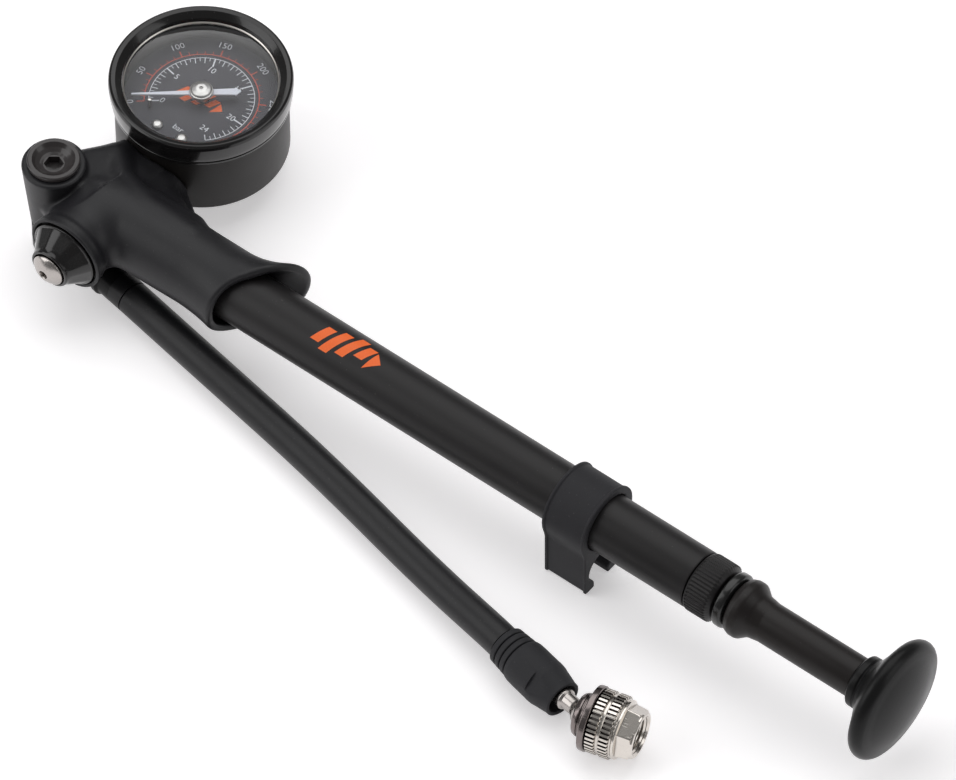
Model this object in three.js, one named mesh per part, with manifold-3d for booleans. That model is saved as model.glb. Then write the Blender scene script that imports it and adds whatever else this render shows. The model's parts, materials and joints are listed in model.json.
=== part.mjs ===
// A high-pressure hand pump for air suspension: barrel, sliding handle, side gauge,
// bleed valve, swivelling hose with a screw-on chuck, and a clip that stows the hose.
// Millimetres. The barrel runs along X, the gauge lies on the +Y side, the table is z = 0.
import * as THREE from 'three';
import { mergeVertices } from 'three/addons/utils/BufferGeometryUtils.js';
import Module from 'manifold-3d';

const wasm = await Module();
wasm.setup();

// ---- driving dimensions ----
const fit = 0.3;                 // gap between neighbouring pieces
const axisHeight = 18.6;         // barrel axis above the table
const barrelRadius = 7.0;
const barrelBore = 6.0;
const barrelStart = 24.5;        // distances along the barrel are from the hose bolt
const capStart = 182.9;
const capEnd = 189.9;
const rodRadius = 3.5;
const stemStart = 193.4;
const stemRadius = 4.85;
const knobStart = 226.9;
const knobFace = 240.3;
const knobRadius = 15.0;
const sleeveRadius = 9.1;
const boltY = -2.6;              // the hose bolt stands a little to the hose side
const bossTop = axisHeight + 10.2;
const boltHeadDepth = 4.0;
const headUnderside = 9.4;
const valveX = 13.3;
const valveFace = 15.5;          // distance of the valve socket's rim from the barrel axis
const valveSocket = 10.6;
const gaugeX = 11.6;
const gaugeY = 36.1;
const gaugeBottom = 7.0;
const gaugeTop = 31.1;
const caseRadius = 20.0;
const bezelRadius = 21.2;
const glassOpening = 17.9;
const dialFace = 22.8;
const hoseRadius = 4.05;
const hoseHeight = 4.4;
const hoseTurn = -10.4;          // degrees from the barrel at the swivel
const bootHeight = 6.0;
const bootRadius = 5.6;
const chuckHeight = 8.1;
const chuckTurn = 13.1;          // degrees from the barrel
const clipStart = 145.1;
const clipWidth = 11.6;
const clipRadius = 8.8;

// ---- materials ----
function finish(colour, roughness, metalness) {
  return new THREE.MeshStandardMaterial({ color: colour, roughness, metalness });
}
const castPlastic = finish('#26262a', 0.55, 0.0);
const anodised = finish('#1d1c1d', 0.42, 0.6);
const paintedCase = finish('#23201e', 0.4, 0.3);
const glossBlack = finish('#121112', 0.2, 0.1);
const satinBlack = finish('#19181a', 0.35, 0.0);
const rubber = finish('#17171a', 0.8, 0.0);
const brass = finish('#b08d4a', 0.35, 0.9);
const steel = finish('#b9b6b0', 0.25, 1.0);
const darkNickel = finish('#6e6462', 0.25, 1.0);
const glass = finish('#dfe4e6', 0.05, 0.0);
const dialGrey = finish('#4d4b52', 0.6, 0.0);
const pointerWhite = finish('#e8e8ee', 0.5, 0.0);

// ---- closed solids from three.js geometry ----
function volumeOf(geometry) {
  const place = geometry.attributes.position;
  const corners = geometry.index.array;
  const [a, b, c] = [new THREE.Vector3(), new THREE.Vector3(), new THREE.Vector3()];
  let volume = 0;
  for (let i = 0; i < corners.length; i += 3) {
    a.fromBufferAttribute(place, corners[i]);
    b.fromBufferAttribute(place, corners[i + 1]);
    c.fromBufferAttribute(place, corners[i + 2]);
    volume += a.dot(b.cross(c)) / 6;
  }
  return volume;
}

function closed(geometry) {
  geometry.deleteAttribute('normal');
  geometry.deleteAttribute('uv');
  const merged = mergeVertices(geometry, 1e-4);
  const corners = merged.index.array;
  const kept = [];
  for (let i = 0; i < corners.length; i += 3) {
    const [a, b, c] = [corners[i], corners[i + 1], corners[i + 2]];
    if (a !== b && b !== c && c !== a) kept.push(a, b, c);
  }
  merged.setIndex(kept);
  if (volumeOf(merged) < 0) {
    for (let i = 0; i < kept.length; i += 3) {
      [kept[i], kept[i + 1]] = [kept[i + 1], kept[i]];
    }
    merged.setIndex(kept);
  }
  return merged;
}

function toSolid(geometry) {
  const mesh = closed(geometry);
  return new wasm.Manifold(new wasm.Mesh({
    numProp: 3,
    vertProperties: new Float32Array(mesh.attributes.position.array),
    triVerts: new Uint32Array(mesh.index.array),
  }));
}

function toGeometry(solid) {
  const mesh = solid.getMesh();
  const geometry = new THREE.BufferGeometry();
  geometry.setAttribute('position', new THREE.BufferAttribute(mesh.vertProperties, 3));
  geometry.setIndex(new THREE.BufferAttribute(mesh.triVerts, 1));
  return geometry;
}

function join(...geometries) {
  return toGeometry(geometries.map(toSolid).reduce((sum, next) => sum.add(next)));
}

function cut(geometry, ...tools) {
  return toGeometry(tools.map(toSolid).reduce((rest, tool) => rest.subtract(tool), toSolid(geometry)));
}

// ---- shapes ----
// A turned piece: pairs of [distance along the axis, radius]; it turns about X, Y or Z.
function turned(axis, profile, segments = 28) {
  const points = profile.map(([along, radius]) => new THREE.Vector2(radius, along));
  const geometry = new THREE.LatheGeometry(points, segments);
  if (axis === 'x') geometry.rotateZ(-Math.PI / 2);
  if (axis === 'z') geometry.rotateX(Math.PI / 2);
  return geometry;
}

function rod(axis, from, to, radius, segments = 20) {
  return turned(axis, [[from, 0], [from, radius], [to, radius], [to, 0]], segments);
}

function ring(axis, from, to, inner, outer, segments = 24) {
  const profile = [[from, inner], [from, outer], [to, outer], [to, inner], [from, inner]];
  return turned(axis, profile, segments);
}

// A rubber ring of round section whose middle is at 'along'.
function roundRing(axis, along, radius, thickness, segments = 20) {
  const profile = [];
  for (let i = 0; i <= 6; i += 1) {
    const angle = i * Math.PI / 3;
    profile.push([along + thickness * Math.cos(angle), radius + thickness * Math.sin(angle)]);
  }
  return turned(axis, profile, segments);
}

function block(from, to) {
  const size = to.map((value, i) => value - from[i]);
  const geometry = new THREE.BoxGeometry(...size);
  return geometry.translate(...from.map((value, i) => value + size[i] / 2));
}

function outline(points) {
  return new THREE.Shape(points.map(([x, y]) => new THREE.Vector2(x, y)));
}

// A flat outline given height along Z.
function plate(shape, from, to, bevel = 0) {
  const settings = {
    depth: to - from - 2 * bevel,
    curveSegments: 16,
    bevelEnabled: bevel > 0,
    bevelSize: bevel,
    bevelThickness: bevel,
    bevelOffset: -bevel,
    bevelSegments: 2,
  };
  return new THREE.ExtrudeGeometry(shape, settings).translate(0, 0, from + bevel);
}

function arcPoints(radius, from, to, steps, centre = [0, 0]) {
  return Array.from({ length: steps + 1 }, (_, i) => {
    const angle = THREE.MathUtils.degToRad(from + (to - from) * i / steps);
    return [centre[0] + radius * Math.cos(angle), centre[1] + radius * Math.sin(angle)];
  });
}

function tube(curve, radius, steps, sides) {
  const section = outline(arcPoints(radius, 0, 360 - 360 / sides, sides - 1));
  return new THREE.ExtrudeGeometry(section, { steps, extrudePath: curve, bevelEnabled: false });
}

class Helix extends THREE.Curve {
  constructor(radius, from, to, turns) {
    super();
    Object.assign(this, { radius, from, to, turns });
  }

  getPoint(t, target = new THREE.Vector3()) {
    const angle = 2 * Math.PI * this.turns * t;
    const along = this.from + (this.to - this.from) * t;
    return target.set(along, this.radius * Math.cos(angle), this.radius * Math.sin(angle));
  }
}

function coilSpring(radius, wire, from, to, turns) {
  return tube(new Helix(radius, from, to, turns), wire, turns * 8, 5);
}

// A toothed outline: ribs stand on a circle of the root radius.
function ribbed(root, tip, count) {
  const points = [];
  for (let i = 0; i < count; i += 1) {
    const step = 360 / count;
    points.push(...arcPoints(root, i * step, (i + 0.35) * step, 1));
    points.push(...arcPoints(tip, (i + 0.5) * step, (i + 0.85) * step, 1));
  }
  return outline(points);
}

function hole(shape, radius, centre = [0, 0], segments = 24) {
  const points = arcPoints(radius, 360 - 360 / segments, 0, segments - 1, centre);
  shape.holes.push(new THREE.Path(points.map(([x, y]) => new THREE.Vector2(x, y))));
  return shape;
}

// ---- the assembly ----
const pump = new THREE.Group();
const barrelAxis = new THREE.Group();
barrelAxis.position.set(0, 0, axisHeight);
const boltAxis = new THREE.Group();
boltAxis.position.set(0, boltY, 0);
const valveAxis = new THREE.Group();
valveAxis.position.set(valveX, 0, axisHeight);
valveAxis.rotation.z = Math.PI;
const gaugeAxis = new THREE.Group();
gaugeAxis.position.set(gaugeX, gaugeY, 0);
pump.add(barrelAxis, boltAxis, valveAxis, gaugeAxis);

function addPiece(parent, name, geometry, material) {
  const mesh = new THREE.Mesh(closed(geometry), material);
  mesh.name = name;
  parent.add(mesh);
}

// ---- head casting ----
// The flared mouth of the sleeve: it leans so that its +Y side reaches further and wider.
function flaredMouth() {
  const around = 32;
  const loops = [];
  for (let i = 0; i < around; i += 1) {
    const angle = 2 * Math.PI * i / around;
    const side = Math.cos(angle);
    const lean = (1 + side) / 2;
    const start = 41 + 6 * lean;
    const rimX = 51 + 11.1 * lean ** 1.5;
    const rimRadius = 9.7 + (side > 0 ? 4.0 * side ** 1.2 : 1.0 * (-side) ** 1.5);
    const thick = 1.6 + 0.6 * lean;
    const profile = [
      [start, 8.7],
      [start + 0.55 * (rimX - start), sleeveRadius + 0.25 * (rimRadius - sleeveRadius)],
      [rimX - 1.2, rimRadius - 0.4],
      [rimX - 0.2, rimRadius - 0.3],
      [rimX, rimRadius - 0.5 * thick],
      [rimX - 0.8, rimRadius - thick],
      [start + 0.7 * (rimX - start), 8.0 + 1.5 * Math.max(side, 0)],
      [start, 8.0],
    ];
    loops.push(profile.map(([x, r]) => [x, r * Math.cos(angle), r * Math.sin(angle)]));
  }
  const rows = loops[0].length;
  const corners = [];
  for (let i = 0; i < around; i += 1) {
    for (let j = 0; j < rows; j += 1) {
      const a = i * rows + j;
      const b = i * rows + (j + 1) % rows;
      const c = ((i + 1) % around) * rows + j;
      const d = ((i + 1) % around) * rows + (j + 1) % rows;
      corners.push(a, c, b, b, c, d);
    }
  }
  const geometry = new THREE.BufferGeometry();
  geometry.setAttribute('position', new THREE.Float32BufferAttribute(loops.flat(2), 3));
  geometry.setIndex(corners);
  return geometry;
}

function headCasting() {
  const lift = axisHeight;
  const sleeve = turned('x', [
    [11.5, 0], [11.5, 6.0], [13.5, 8.6], [17, 9.6], [30, 9.4], [40, sleeveRadius],
    [50, sleeveRadius], [50, 0],
  ], 36).translate(0, 0, lift);
  const mouth = flaredMouth().translate(0, 0, lift);
  const boss = turned('z', [
    [headUnderside, 0], [headUnderside, 5.9], [lift - 3, 6.6], [lift + 6, 7.3],
    [bossTop - 0.6, 7.5], [bossTop, 7.1], [bossTop, 0],
  ]).translate(0, boltY, 0);
  const trunk = plate(outline([
    [-6.2, -4.5], [-5.2, 2], [-1.5, 7.5], [4, 9], [20, 9], [20, -9], [8, -11], [-2, -9],
  ]), headUnderside - 0.6, lift + 7.6, 2.0);
  const socket = turned('y', [
    [-valveFace, 0], [-valveFace, valveSocket], [-valveFace + 2, valveSocket + 0.1],
    [-9, 9.4], [-4, 8.6], [-4, 0],
  ], 36).translate(valveX, 0, lift);
  const arm = plate(outline([
    [-2, 6], [0.5, 11], [3.4, 19.5], [19, 20], [21, 13.5], [27, 10.6], [37, 9.6], [37, 2], [0, 2],
  ]), lift - 6.5, lift + 2.6, 2.0);
  const body = join(sleeve, mouth, boss, trunk, socket, arm);
  return cut(
    body,
    rod('x', 22, 90, barrelRadius + fit, 36).translate(0, 0, lift),
    rod('x', 13, 22.5, 2.6).translate(0, 0, lift),
    rod('x', -1, 13.5, 1.5, 12).translate(0, boltY, lift),
    rod('z', 0, 40, 3.3).translate(0, boltY, 0),
    rod('z', bossTop - boltHeadDepth - fit, 40, 4.9).translate(0, boltY, 0),
    rod('y', -40, -13.2, 9.3, 36).translate(valveX, 0, lift),
    rod('y', -14, -5, 4.3).translate(valveX, 0, lift),
    rod('y', -6, 1, 1.6, 12).translate(valveX, 0, lift),
    rod('y', 1, 30, 3.2).translate(gaugeX, 0, lift),
    rod('z', 0, 40, caseRadius + fit, 48).translate(gaugeX, gaugeY, 0),
    rod('z', gaugeTop - 7.6, 40, bezelRadius + fit, 36).translate(gaugeX, gaugeY, 0),
    block([-20, -30, -5], [90, 30, headUnderside]),
  );
}
addPiece(pump, 'head_casting', headCasting(), castPlastic);

// ---- barrel, check valve and end cap ----
const guideStart = capStart - 7;
addPiece(barrelAxis, 'barrel_tube',
  ring('x', barrelStart, capStart - fit, barrelBore, barrelRadius, 32), anodised);
addPiece(barrelAxis, 'check_valve_seat', ring('x', 22.5, 24.2, 1.6, barrelRadius, 20), brass);
addPiece(barrelAxis, 'check_ball', new THREE.SphereGeometry(2.0, 10, 6).translate(20.1, 0, 0), steel);
addPiece(barrelAxis, 'check_spring', coilSpring(1.6, 0.3, 13.5, 17.4, 4), steel);

function endCap() {
  const knurl = plate(ribbed(barrelRadius - 0.25, barrelRadius + 0.1, 36), 0, capEnd - capStart - 0.4);
  knurl.rotateY(Math.PI / 2).translate(capStart, 0, 0);
  const nose = turned('x', [
    [capEnd - 0.8, 0], [capEnd - 0.8, 6.5], [capEnd, 5.9], [capEnd, 0],
  ], 24);
  const spigot = rod('x', guideStart, capStart + 1, barrelBore - fit);
  return cut(
    join(knurl, nose, spigot),
    rod('x', guideStart - 1, capStart + 2, 4.9),
    rod('x', capStart + 1, capEnd + 1, rodRadius + 0.4),
    rod('x', capEnd - 3.2, capEnd - 1.0, 5.0),
  );
}
addPiece(barrelAxis, 'barrel_end_cap', endCap(), anodised);
addPiece(barrelAxis, 'rod_guide_bush',
  ring('x', guideStart + fit, capStart + 1.7, rodRadius + fit, 4.6, 24), brass);
addPiece(barrelAxis, 'rod_wiper',
  ring('x', capEnd - 2.9, capEnd - 1.3, rodRadius + fit, 4.7, 24), rubber);

// ---- piston and handle ----
const pistonStart = barrelStart + 1;
const pistonHead = cut(
  rod('x', pistonStart, pistonStart + 9, barrelBore - fit),
  ring('x', pistonStart + 3, pistonStart + 6, 3.8, barrelRadius),
);
addPiece(barrelAxis, 'piston_head', pistonHead, brass);
addPiece(barrelAxis, 'piston_seal',
  ring('x', pistonStart + 3 + fit, pistonStart + 6 - fit, 4.1, barrelBore - 0.2, 24), rubber);
addPiece(barrelAxis, 'piston_rod', rod('x', pistonStart + 9 + fit, knobStart - 1, rodRadius), steel);
addPiece(barrelAxis, 'bumper_ring', turned('x', [
  [capEnd + fit, rodRadius + fit], [capEnd + fit, 5.9], [capEnd + 1.0, 6.7], [capEnd + 2.3, 6.7],
  [stemStart - fit, 5.9], [stemStart - fit, rodRadius + fit], [capEnd + fit, rodRadius + fit],
], 28), rubber);
addPiece(barrelAxis, 'handle_stem', turned('x', [
  [stemStart, rodRadius + fit], [stemStart, 6.4], [stemStart + 1.2, 6.9], [stemStart + 2.8, 7.0],
  [stemStart + 4.0, 6.4], [stemStart + 5.4, 5.4], [stemStart + 7.5, stemRadius],
  [knobStart - fit, stemRadius], [knobStart - fit, rodRadius + fit], [stemStart, rodRadius + fit],
]), satinBlack);

function knob() {
  const edge = 2.0;
  const rim = knobStart + 9.0;
  const profile = [
    [knobStart, 0], [knobStart, 5.8], [knobStart + 0.5, 6.3], [knobStart + 1.8, 6.3],
    [knobStart + 2.6, 6.6], [knobStart + 4.2, 8.8], [rim - 2.6, 12.2],
  ];
  profile.push(...arcPoints(edge, 150, 20, 5, [rim, knobRadius - edge]));
  profile.push([rim + 3.3, 9.5], [knobFace - 0.3, 5], [knobFace, 0]);
  return turned('x', profile, 32);
}
addPiece(barrelAxis, 'handle_knob', knob(), satinBlack);

// ---- hose clip ----
// A ring round the barrel with an open jaw below it; the outer leg of the jaw is the foot.
function hoseClip() {
  const jawRadius = hoseRadius + 0.1;
  const jaw = [-2.3, hoseHeight + 0.9 - axisHeight];
  const wall = 1.3;
  const legOut = jaw[0] - jawRadius - wall;
  const legIn = jaw[0] + jawRadius + wall;
  const shape = outline([
    ...arcPoints(clipRadius, -20, 200, 22),
    [legOut, -7.5], [legOut, 0.5 - axisHeight], [legOut + 0.5, -axisHeight],
    [legOut + 2.7, -axisHeight], [legOut + 3.1, 1.0 - axisHeight],
    ...arcPoints(jawRadius, 222, -42, 14, jaw),
    [legIn - 3.1, 1.0 - axisHeight], [legIn - 2.7, 0.2 - axisHeight], [legIn - 1.0, 0.2 - axisHeight],
    [legIn, jaw[1] - 1.0], [legIn, jaw[1] + 2.5],
  ]);
  hole(shape, barrelRadius + fit, [0, 0], 28);
  // the outline's own x and y become the pump's y and z
  const geometry = plate(shape, 0, clipWidth);
  geometry.rotateX(Math.PI / 2).rotateZ(Math.PI / 2);
  return geometry.translate(clipStart, 0, 0);
}
addPiece(barrelAxis, 'hose_clip', hoseClip(), rubber);

// ---- bleed valve: its own axis points away from the barrel on the hose side ----
const housing = cut(
  turned('y', [
    [5.6, 0], [5.6, 4.0], [14.8, 4.0], [14.8, 8.7], [15.5, 9.0], [16.2, 8.8], [20.9, 5.2], [21.1, 4.8],
    [21.1, 0],
  ], 32),
  rod('y', 5, 22, 1.5, 12),
  rod('y', 10.8, 22, 3.4, 20),
  rod('y', 18.7, 22, 4.4, 20),
);
addPiece(valveAxis, 'bleed_valve_housing', housing, glossBlack);
addPiece(valveAxis, 'bleed_valve_seal', roundRing('y', 14.0, 6.5, 0.5), rubber);
addPiece(valveAxis, 'bleed_spring',
  coilSpring(2.4, 0.35, 11.5, 20.1, 5).rotateZ(Math.PI / 2), steel);
addPiece(valveAxis, 'bleed_pin', rod('y', 4.5, 20.3, 1.1, 12), brass);
addPiece(valveAxis, 'bleed_button', turned('y', [
  [20.6, 0], [20.6, 4.1], [22.3, 4.1], [22.9, 3.6], [23.2, 2.4], [23.3, 0.9], [22.8, 0.5], [22.8, 0],
], 28), steel);

// ---- hose bolt ----
function hexagon(radius) {
  return outline(arcPoints(radius, 0, 300, 5));
}
const flangeTop = bossTop + 1.5;
const boltBlank = turned('z', [
  [0.5, 0], [0.5, 2.7], [bossTop - boltHeadDepth, 2.7], [bossTop - boltHeadDepth, 4.6],
  [bossTop + fit, 4.6], [bossTop + fit, 6.0], [flangeTop - 0.5, 6.25],
  [flangeTop, 5.9], [flangeTop, 0],
], 36);
const boltSocket = plate(hexagon(3.1), flangeTop - 4.2, flangeTop + 1);
const boltDish = turned('z', [[flangeTop - 2.2, 0], [flangeTop - 2.2, 3.2], [flangeTop + 0.1, 4.6],
  [flangeTop + 0.1, 0]]);
addPiece(boltAxis, 'pivot_bolt', cut(boltBlank, boltSocket, boltDish), glossBlack);
addPiece(boltAxis, 'pivot_nut', cut(plate(hexagon(4.3), 0.4, 2.4), rod('z', 0, 3, 3.0)), steel);
addPiece(boltAxis, 'swivel_seal', roundRing('z', 8.6, 4.3, 0.5), rubber);

// ---- gauge ----
const caseShell = cut(
  turned('z', [
    [gaugeBottom, 18.9], [gaugeBottom + 0.4, 19.6], [gaugeBottom + 1.2, caseRadius],
    [24.0, caseRadius], [24.0, 19.4], [26.3, 19.4], [26.3, 18.3], [23.6, 18.3], [23.2, 19.0],
    [gaugeBottom + 2, 19.0], [gaugeBottom + 1.2, 18.2], [gaugeBottom + 1.2, 0], [gaugeBottom, 0],
    [gaugeBottom, 18.9],
  ], 36),
  rod('y', -22, -17, 3.4).translate(0, 0, axisHeight),
);
addPiece(gaugeAxis, 'gauge_case', caseShell, paintedCase);
addPiece(gaugeAxis, 'gauge_bezel', turned('z', [
  [24.3, 19.7], [24.3, 20.5], [24.7, 20.75], [27.0, 20.95], [29.8, bezelRadius], [30.7, 21.0],
  [gaugeTop, 20.4], [gaugeTop - 0.1, 19.5], [29.6, glassOpening], [29.0, glassOpening],
  [29.0, 19.7], [24.3, 19.7],
], 36), glossBlack);
addPiece(gaugeAxis, 'gauge_lens', turned('z', [
  [27.5, 0], [27.5, 19.3], [28.2, 19.3], [28.7, 17.0], [28.9, 0],
], 36), glass);
addPiece(gaugeAxis, 'lens_gasket', ring('z', 26.6, 27.2, 17.9, 19.3, 32), rubber);

const screwCircle = 12.6;
const screwAngles = [-104.5, -72.5];
const pinCircle = 12.0;
const pinAngle = -131;
function onDial(radius, degrees) {
  return [radius * Math.cos(THREE.MathUtils.degToRad(degrees)),
    radius * Math.sin(THREE.MathUtils.degToRad(degrees))];
}
const dialShape = outline(arcPoints(17.9, 0, 350, 35));
hole(dialShape, 1.6, [0, 0], 16);
for (const angle of screwAngles) hole(dialShape, 0.8, onDial(screwCircle, angle), 10);
addPiece(gaugeAxis, 'dial_plate', plate(dialShape, dialFace - 0.6, dialFace), dialGrey);
for (const [i, angle] of screwAngles.entries()) {
  const screw = turned('z', [
    [dialFace - 1.6, 0], [dialFace - 1.6, 0.5], [dialFace + 0.1, 0.5], [dialFace + 0.1, 1.35],
    [dialFace + 0.6, 1.2], [dialFace + 0.9, 0.6], [dialFace + 0.95, 0],
  ], 16);
  addPiece(gaugeAxis, `dial_screw_${i + 1}`, screw.translate(...onDial(screwCircle, angle), 0), steel);
}
addPiece(gaugeAxis, 'pointer_stop_pin',
  rod('z', dialFace + 0.1, dialFace + 2.8, 0.5, 12).translate(...onDial(pinCircle, pinAngle), 0), steel);

const stemBlock = join(
  rod('y', 7, 18, 2.8),
  rod('y', 17, 24.4, 3.0),
  block([-4, 18.6, -3.0], [4, 24.4, 2.6]),
);
addPiece(pump, 'gauge_stem', stemBlock.translate(gaugeX, 0, axisHeight), brass);

// the curved pressure tube starts beside the stem block and bends round the case
class CaseArc extends THREE.Curve {
  getPoint(t, target = new THREE.Vector3()) {
    const angle = THREE.MathUtils.degToRad(-62 + 255 * t);
    return target.set(15.8 * Math.cos(angle), 15.8 * Math.sin(angle), 17);
  }
}
addPiece(gaugeAxis, 'bourdon_tube', tube(new CaseArc(), 1.5, 28, 8), brass);

const movementFloor = 12.0;
const gearLevel = [14.0, 15.0];
const sectorPivot = [0, 9.0];
const pinionRadius = 1.5;
const sectorRadius = sectorPivot[1] - pinionRadius - fit;
const movementShape = outline([[-7, -6], [7, -6], [7, 11.5], [-7, 11.5]]);
hole(movementShape, 1.1, [0, 0], 12);
const movement = join(plate(movementShape, movementFloor, movementFloor + 1.2),
  rod('z', movementFloor + 1, gearLevel[1] + 0.8, 0.7, 12).translate(...sectorPivot, 0),
  rod('z', gaugeBottom + 1.5, movementFloor + 0.5, 1.2, 12).translate(-5, -4, 0),
  rod('z', gaugeBottom + 1.5, movementFloor + 0.5, 1.2, 12).translate(5, -4, 0),
  rod('z', gaugeBottom + 1.5, movementFloor + 0.5, 1.2, 12).translate(0, 10, 0));
addPiece(gaugeAxis, 'movement_plate', movement, brass);
const sectorShape = outline([
  ...arcPoints(sectorRadius, -150, -85, 14, sectorPivot),
  ...arcPoints(2.0, -30, 210, 10, sectorPivot),
]);
hole(sectorShape, 1.0, sectorPivot, 12);
addPiece(gaugeAxis, 'sector_gear', plate(sectorShape, ...gearLevel), brass);
addPiece(gaugeAxis, 'pointer_spindle', turned('z', [
  [movementFloor - 1, 0], [movementFloor - 1, 0.8], [gearLevel[0], 0.8], [gearLevel[0], pinionRadius],
  [gearLevel[1], pinionRadius], [gearLevel[1], 0.8], [24.6, 0.8], [24.6, 0],
], 16), steel);

const needleRest = 219.5;          // degrees, almost on the zero mark
const needleShape = outline([
  [16.0, 0.16], [16.0, -0.16], [2.6, -0.75], [1.9, -1.9], [-1.9, -1.9], [-2.6, -0.8], [-7.6, -1.0],
  [-7.9, -1.5], [-9.3, 0], [-7.9, 1.5], [-7.6, 1.0], [-2.6, 0.8], [-1.9, 1.9], [1.9, 1.9], [2.6, 0.75],
]);
addPiece(gaugeAxis, 'pointer_needle',
  plate(needleShape, 24.9, 25.3).rotateZ(THREE.MathUtils.degToRad(needleRest)), pointerWhite);
addPiece(gaugeAxis, 'pointer_hub', turned('z', [
  [25.6, 0], [25.6, 2.75], [26.1, 2.75], [26.6, 2.0], [26.85, 0.5], [26.2, 0.5], [26.2, 0],
], 24), steel);

// ---- hose swivel ----
const hoseRoot = new THREE.Group();
hoseRoot.rotation.z = THREE.MathUtils.degToRad(hoseTurn);
boltAxis.add(hoseRoot);
const collarStart = 22.4;
const collarEnd = 26.2;
const swivelEye = turned('z', [[0, 0], [0, 5.5], [0.4, 5.8], [8.6, 5.8], [8.9, 5.5], [8.9, 0]], 28);
const swivelNeck = rod('x', 3, collarStart - fit, 4.3).translate(0, 0, hoseHeight);
const swivelBarb = rod('x', 20, collarEnd - 0.4, 2.0, 16).translate(0, 0, hoseHeight);
const swivel = cut(
  join(swivelEye, swivelNeck, swivelBarb),
  rod('z', -1, 10, 3.1),
  rod('z', -1, 2.8, 4.7),
  ring('z', 7.8, 10, 3.5, 5.1),
);
addPiece(hoseRoot, 'hose_swivel', swivel, satinBlack);
addPiece(hoseRoot, 'hose_collar',
  ring('x', collarStart, collarEnd, 2.3, 4.35, 28).translate(0, 0, hoseHeight), glossBlack);

// ---- free hose: its middle line, from the collar to the boot, as laid on the table ----
const hoseRoute = [
  [26.1, -7.4, 4.4], [29.1, -7.95, 4.4], [39.4, -9.8, 4.4], [49.5, -11.6, 4.4],
  [64.7, -14.3, 4.4], [74.8, -16.1, 4.4], [84.8, -18.0, 4.4], [94.9, -20.1, 4.4],
  [104.9, -22.3, 4.4], [114.9, -24.6, 4.4], [124.9, -26.85, 4.5], [134.8, -29.05, 4.9],
  [144.7, -31.2, 5.6], [149.6, -32.25, 5.9], [153.5, -33.1, 6.0],
];
const hoseCurve = new THREE.CatmullRomCurve3(hoseRoute.map(([x, y, z]) => new THREE.Vector3(x, y, z)));
addPiece(pump, 'hose_tube', tube(hoseCurve, hoseRadius, 32, 10), rubber);

const bootTurn = -12.1;
const bootGroup = new THREE.Group();
bootGroup.position.set(153.8, -33.15, bootHeight);
bootGroup.rotation.z = THREE.MathUtils.degToRad(bootTurn);
pump.add(bootGroup);
const bootLength = 19.8;
addPiece(bootGroup, 'hose_boot', turned('x', [
  [0, 0], [0, 4.5], [5.6, 4.7], [6.2, 5.4], [8.0, bootRadius], [14.5, bootRadius], [bootLength - 0.6, 4.9],
  [bootLength, 4.6], [bootLength, 3.7], [11, 3.4], [11, 0],
], 28), rubber);

// ---- chuck ----
const kneeAlong = 27.2;          // ball joint, from the boot's start along its axis
const kneeRise = chuckHeight - bootHeight;
const neckFrom = new THREE.Vector3(11.4, 0, 0);
const neckTo = new THREE.Vector3(kneeAlong, 0, kneeRise);
const neckCurve = new THREE.LineCurve3(neckFrom, neckTo);
const ferrule = join(tube(neckCurve, 2.1, 1, 16),
  new THREE.SphereGeometry(3.3, 16, 10).translate(kneeAlong, 0, kneeRise));
addPiece(bootGroup, 'hose_end_ferrule', ferrule, darkNickel);

const chuckGroup = new THREE.Group();
bootGroup.add(chuckGroup);
chuckGroup.position.copy(neckTo);
chuckGroup.rotation.z = THREE.MathUtils.degToRad(chuckTurn - bootTurn);
addPiece(chuckGroup, 'chuck_collar', turned('x', [
  [-1.5, 3.9], [-1.4, 4.5], [-0.6, 5.0], [-0.1, 5.15], [0.0, 4.8], [0.35, 4.8], [0.45, 5.15],
  [0.8, 5.15], [0.8, 3.9], [-1.5, 3.9],
], 28), darkNickel);
addPiece(chuckGroup, 'chuck_body', cut(
  turned('x', [
    [1.1, 0], [1.1, 7.4], [1.5, 7.75], [2.3, 7.75], [2.6, 7.5], [2.6, 5.0], [8.8, 5.0], [8.8, 0],
  ], 32),
  new THREE.SphereGeometry(3.8, 16, 10),
  rod('x', 3, 5.4, 1.2, 12),
  rod('x', 5.2, 9, 4.2, 20),
), darkNickel);
const nutBands = join(
  plate(ribbed(7.15, 7.5, 28), 2.9, 5.6).rotateY(Math.PI / 2),
  rod('x', 5.4, 6.4, 6.7, 24),
  plate(ribbed(7.15, 7.5, 28), 6.2, 8.9).rotateY(Math.PI / 2),
  turned('x', [[8.7, 0], [8.7, 6.7], [9.4, 6.7], [13.3, 5.6], [13.7, 5.3], [13.7, 0]], 6),
);
addPiece(chuckGroup, 'chuck_nut', cut(
  nutBands,
  rod('x', 2, 9.4, 5.4, 24),
  rod('x', 9, 15, 4.1, 24),
), steel);
addPiece(chuckGroup, 'chuck_gasket', ring('x', 7.0, 8.6, 1.6, 3.9, 20), rubber);
addPiece(chuckGroup, 'chuck_pin', turned('x', [
  [5.5, 0], [5.5, 2.0], [6.4, 2.0], [6.4, 0.9], [10.2, 0.9], [10.2, 0],
], 16), brass);

// ---- origin: bottom centre of the pump without its hose and chuck ----
const onHose = ['hose_tube', 'hose_boot', 'hose_end_ferrule', 'chuck_collar', 'chuck_body',
  'chuck_nut', 'chuck_gasket', 'chuck_pin'];
pump.updateMatrixWorld(true);
const standing = new THREE.Box3();
pump.traverse((piece) => {
  if (!piece.isMesh || onHose.includes(piece.name)) return;
  standing.union(new THREE.Box3().setFromObject(piece, true));
});
const centre = standing.getCenter(new THREE.Vector3());
pump.position.set(-centre.x, -centre.y, -standing.min.z);

export default pump;
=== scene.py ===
import json
from math import acos, atan2, cos, pi, radians, sin, tan

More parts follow.
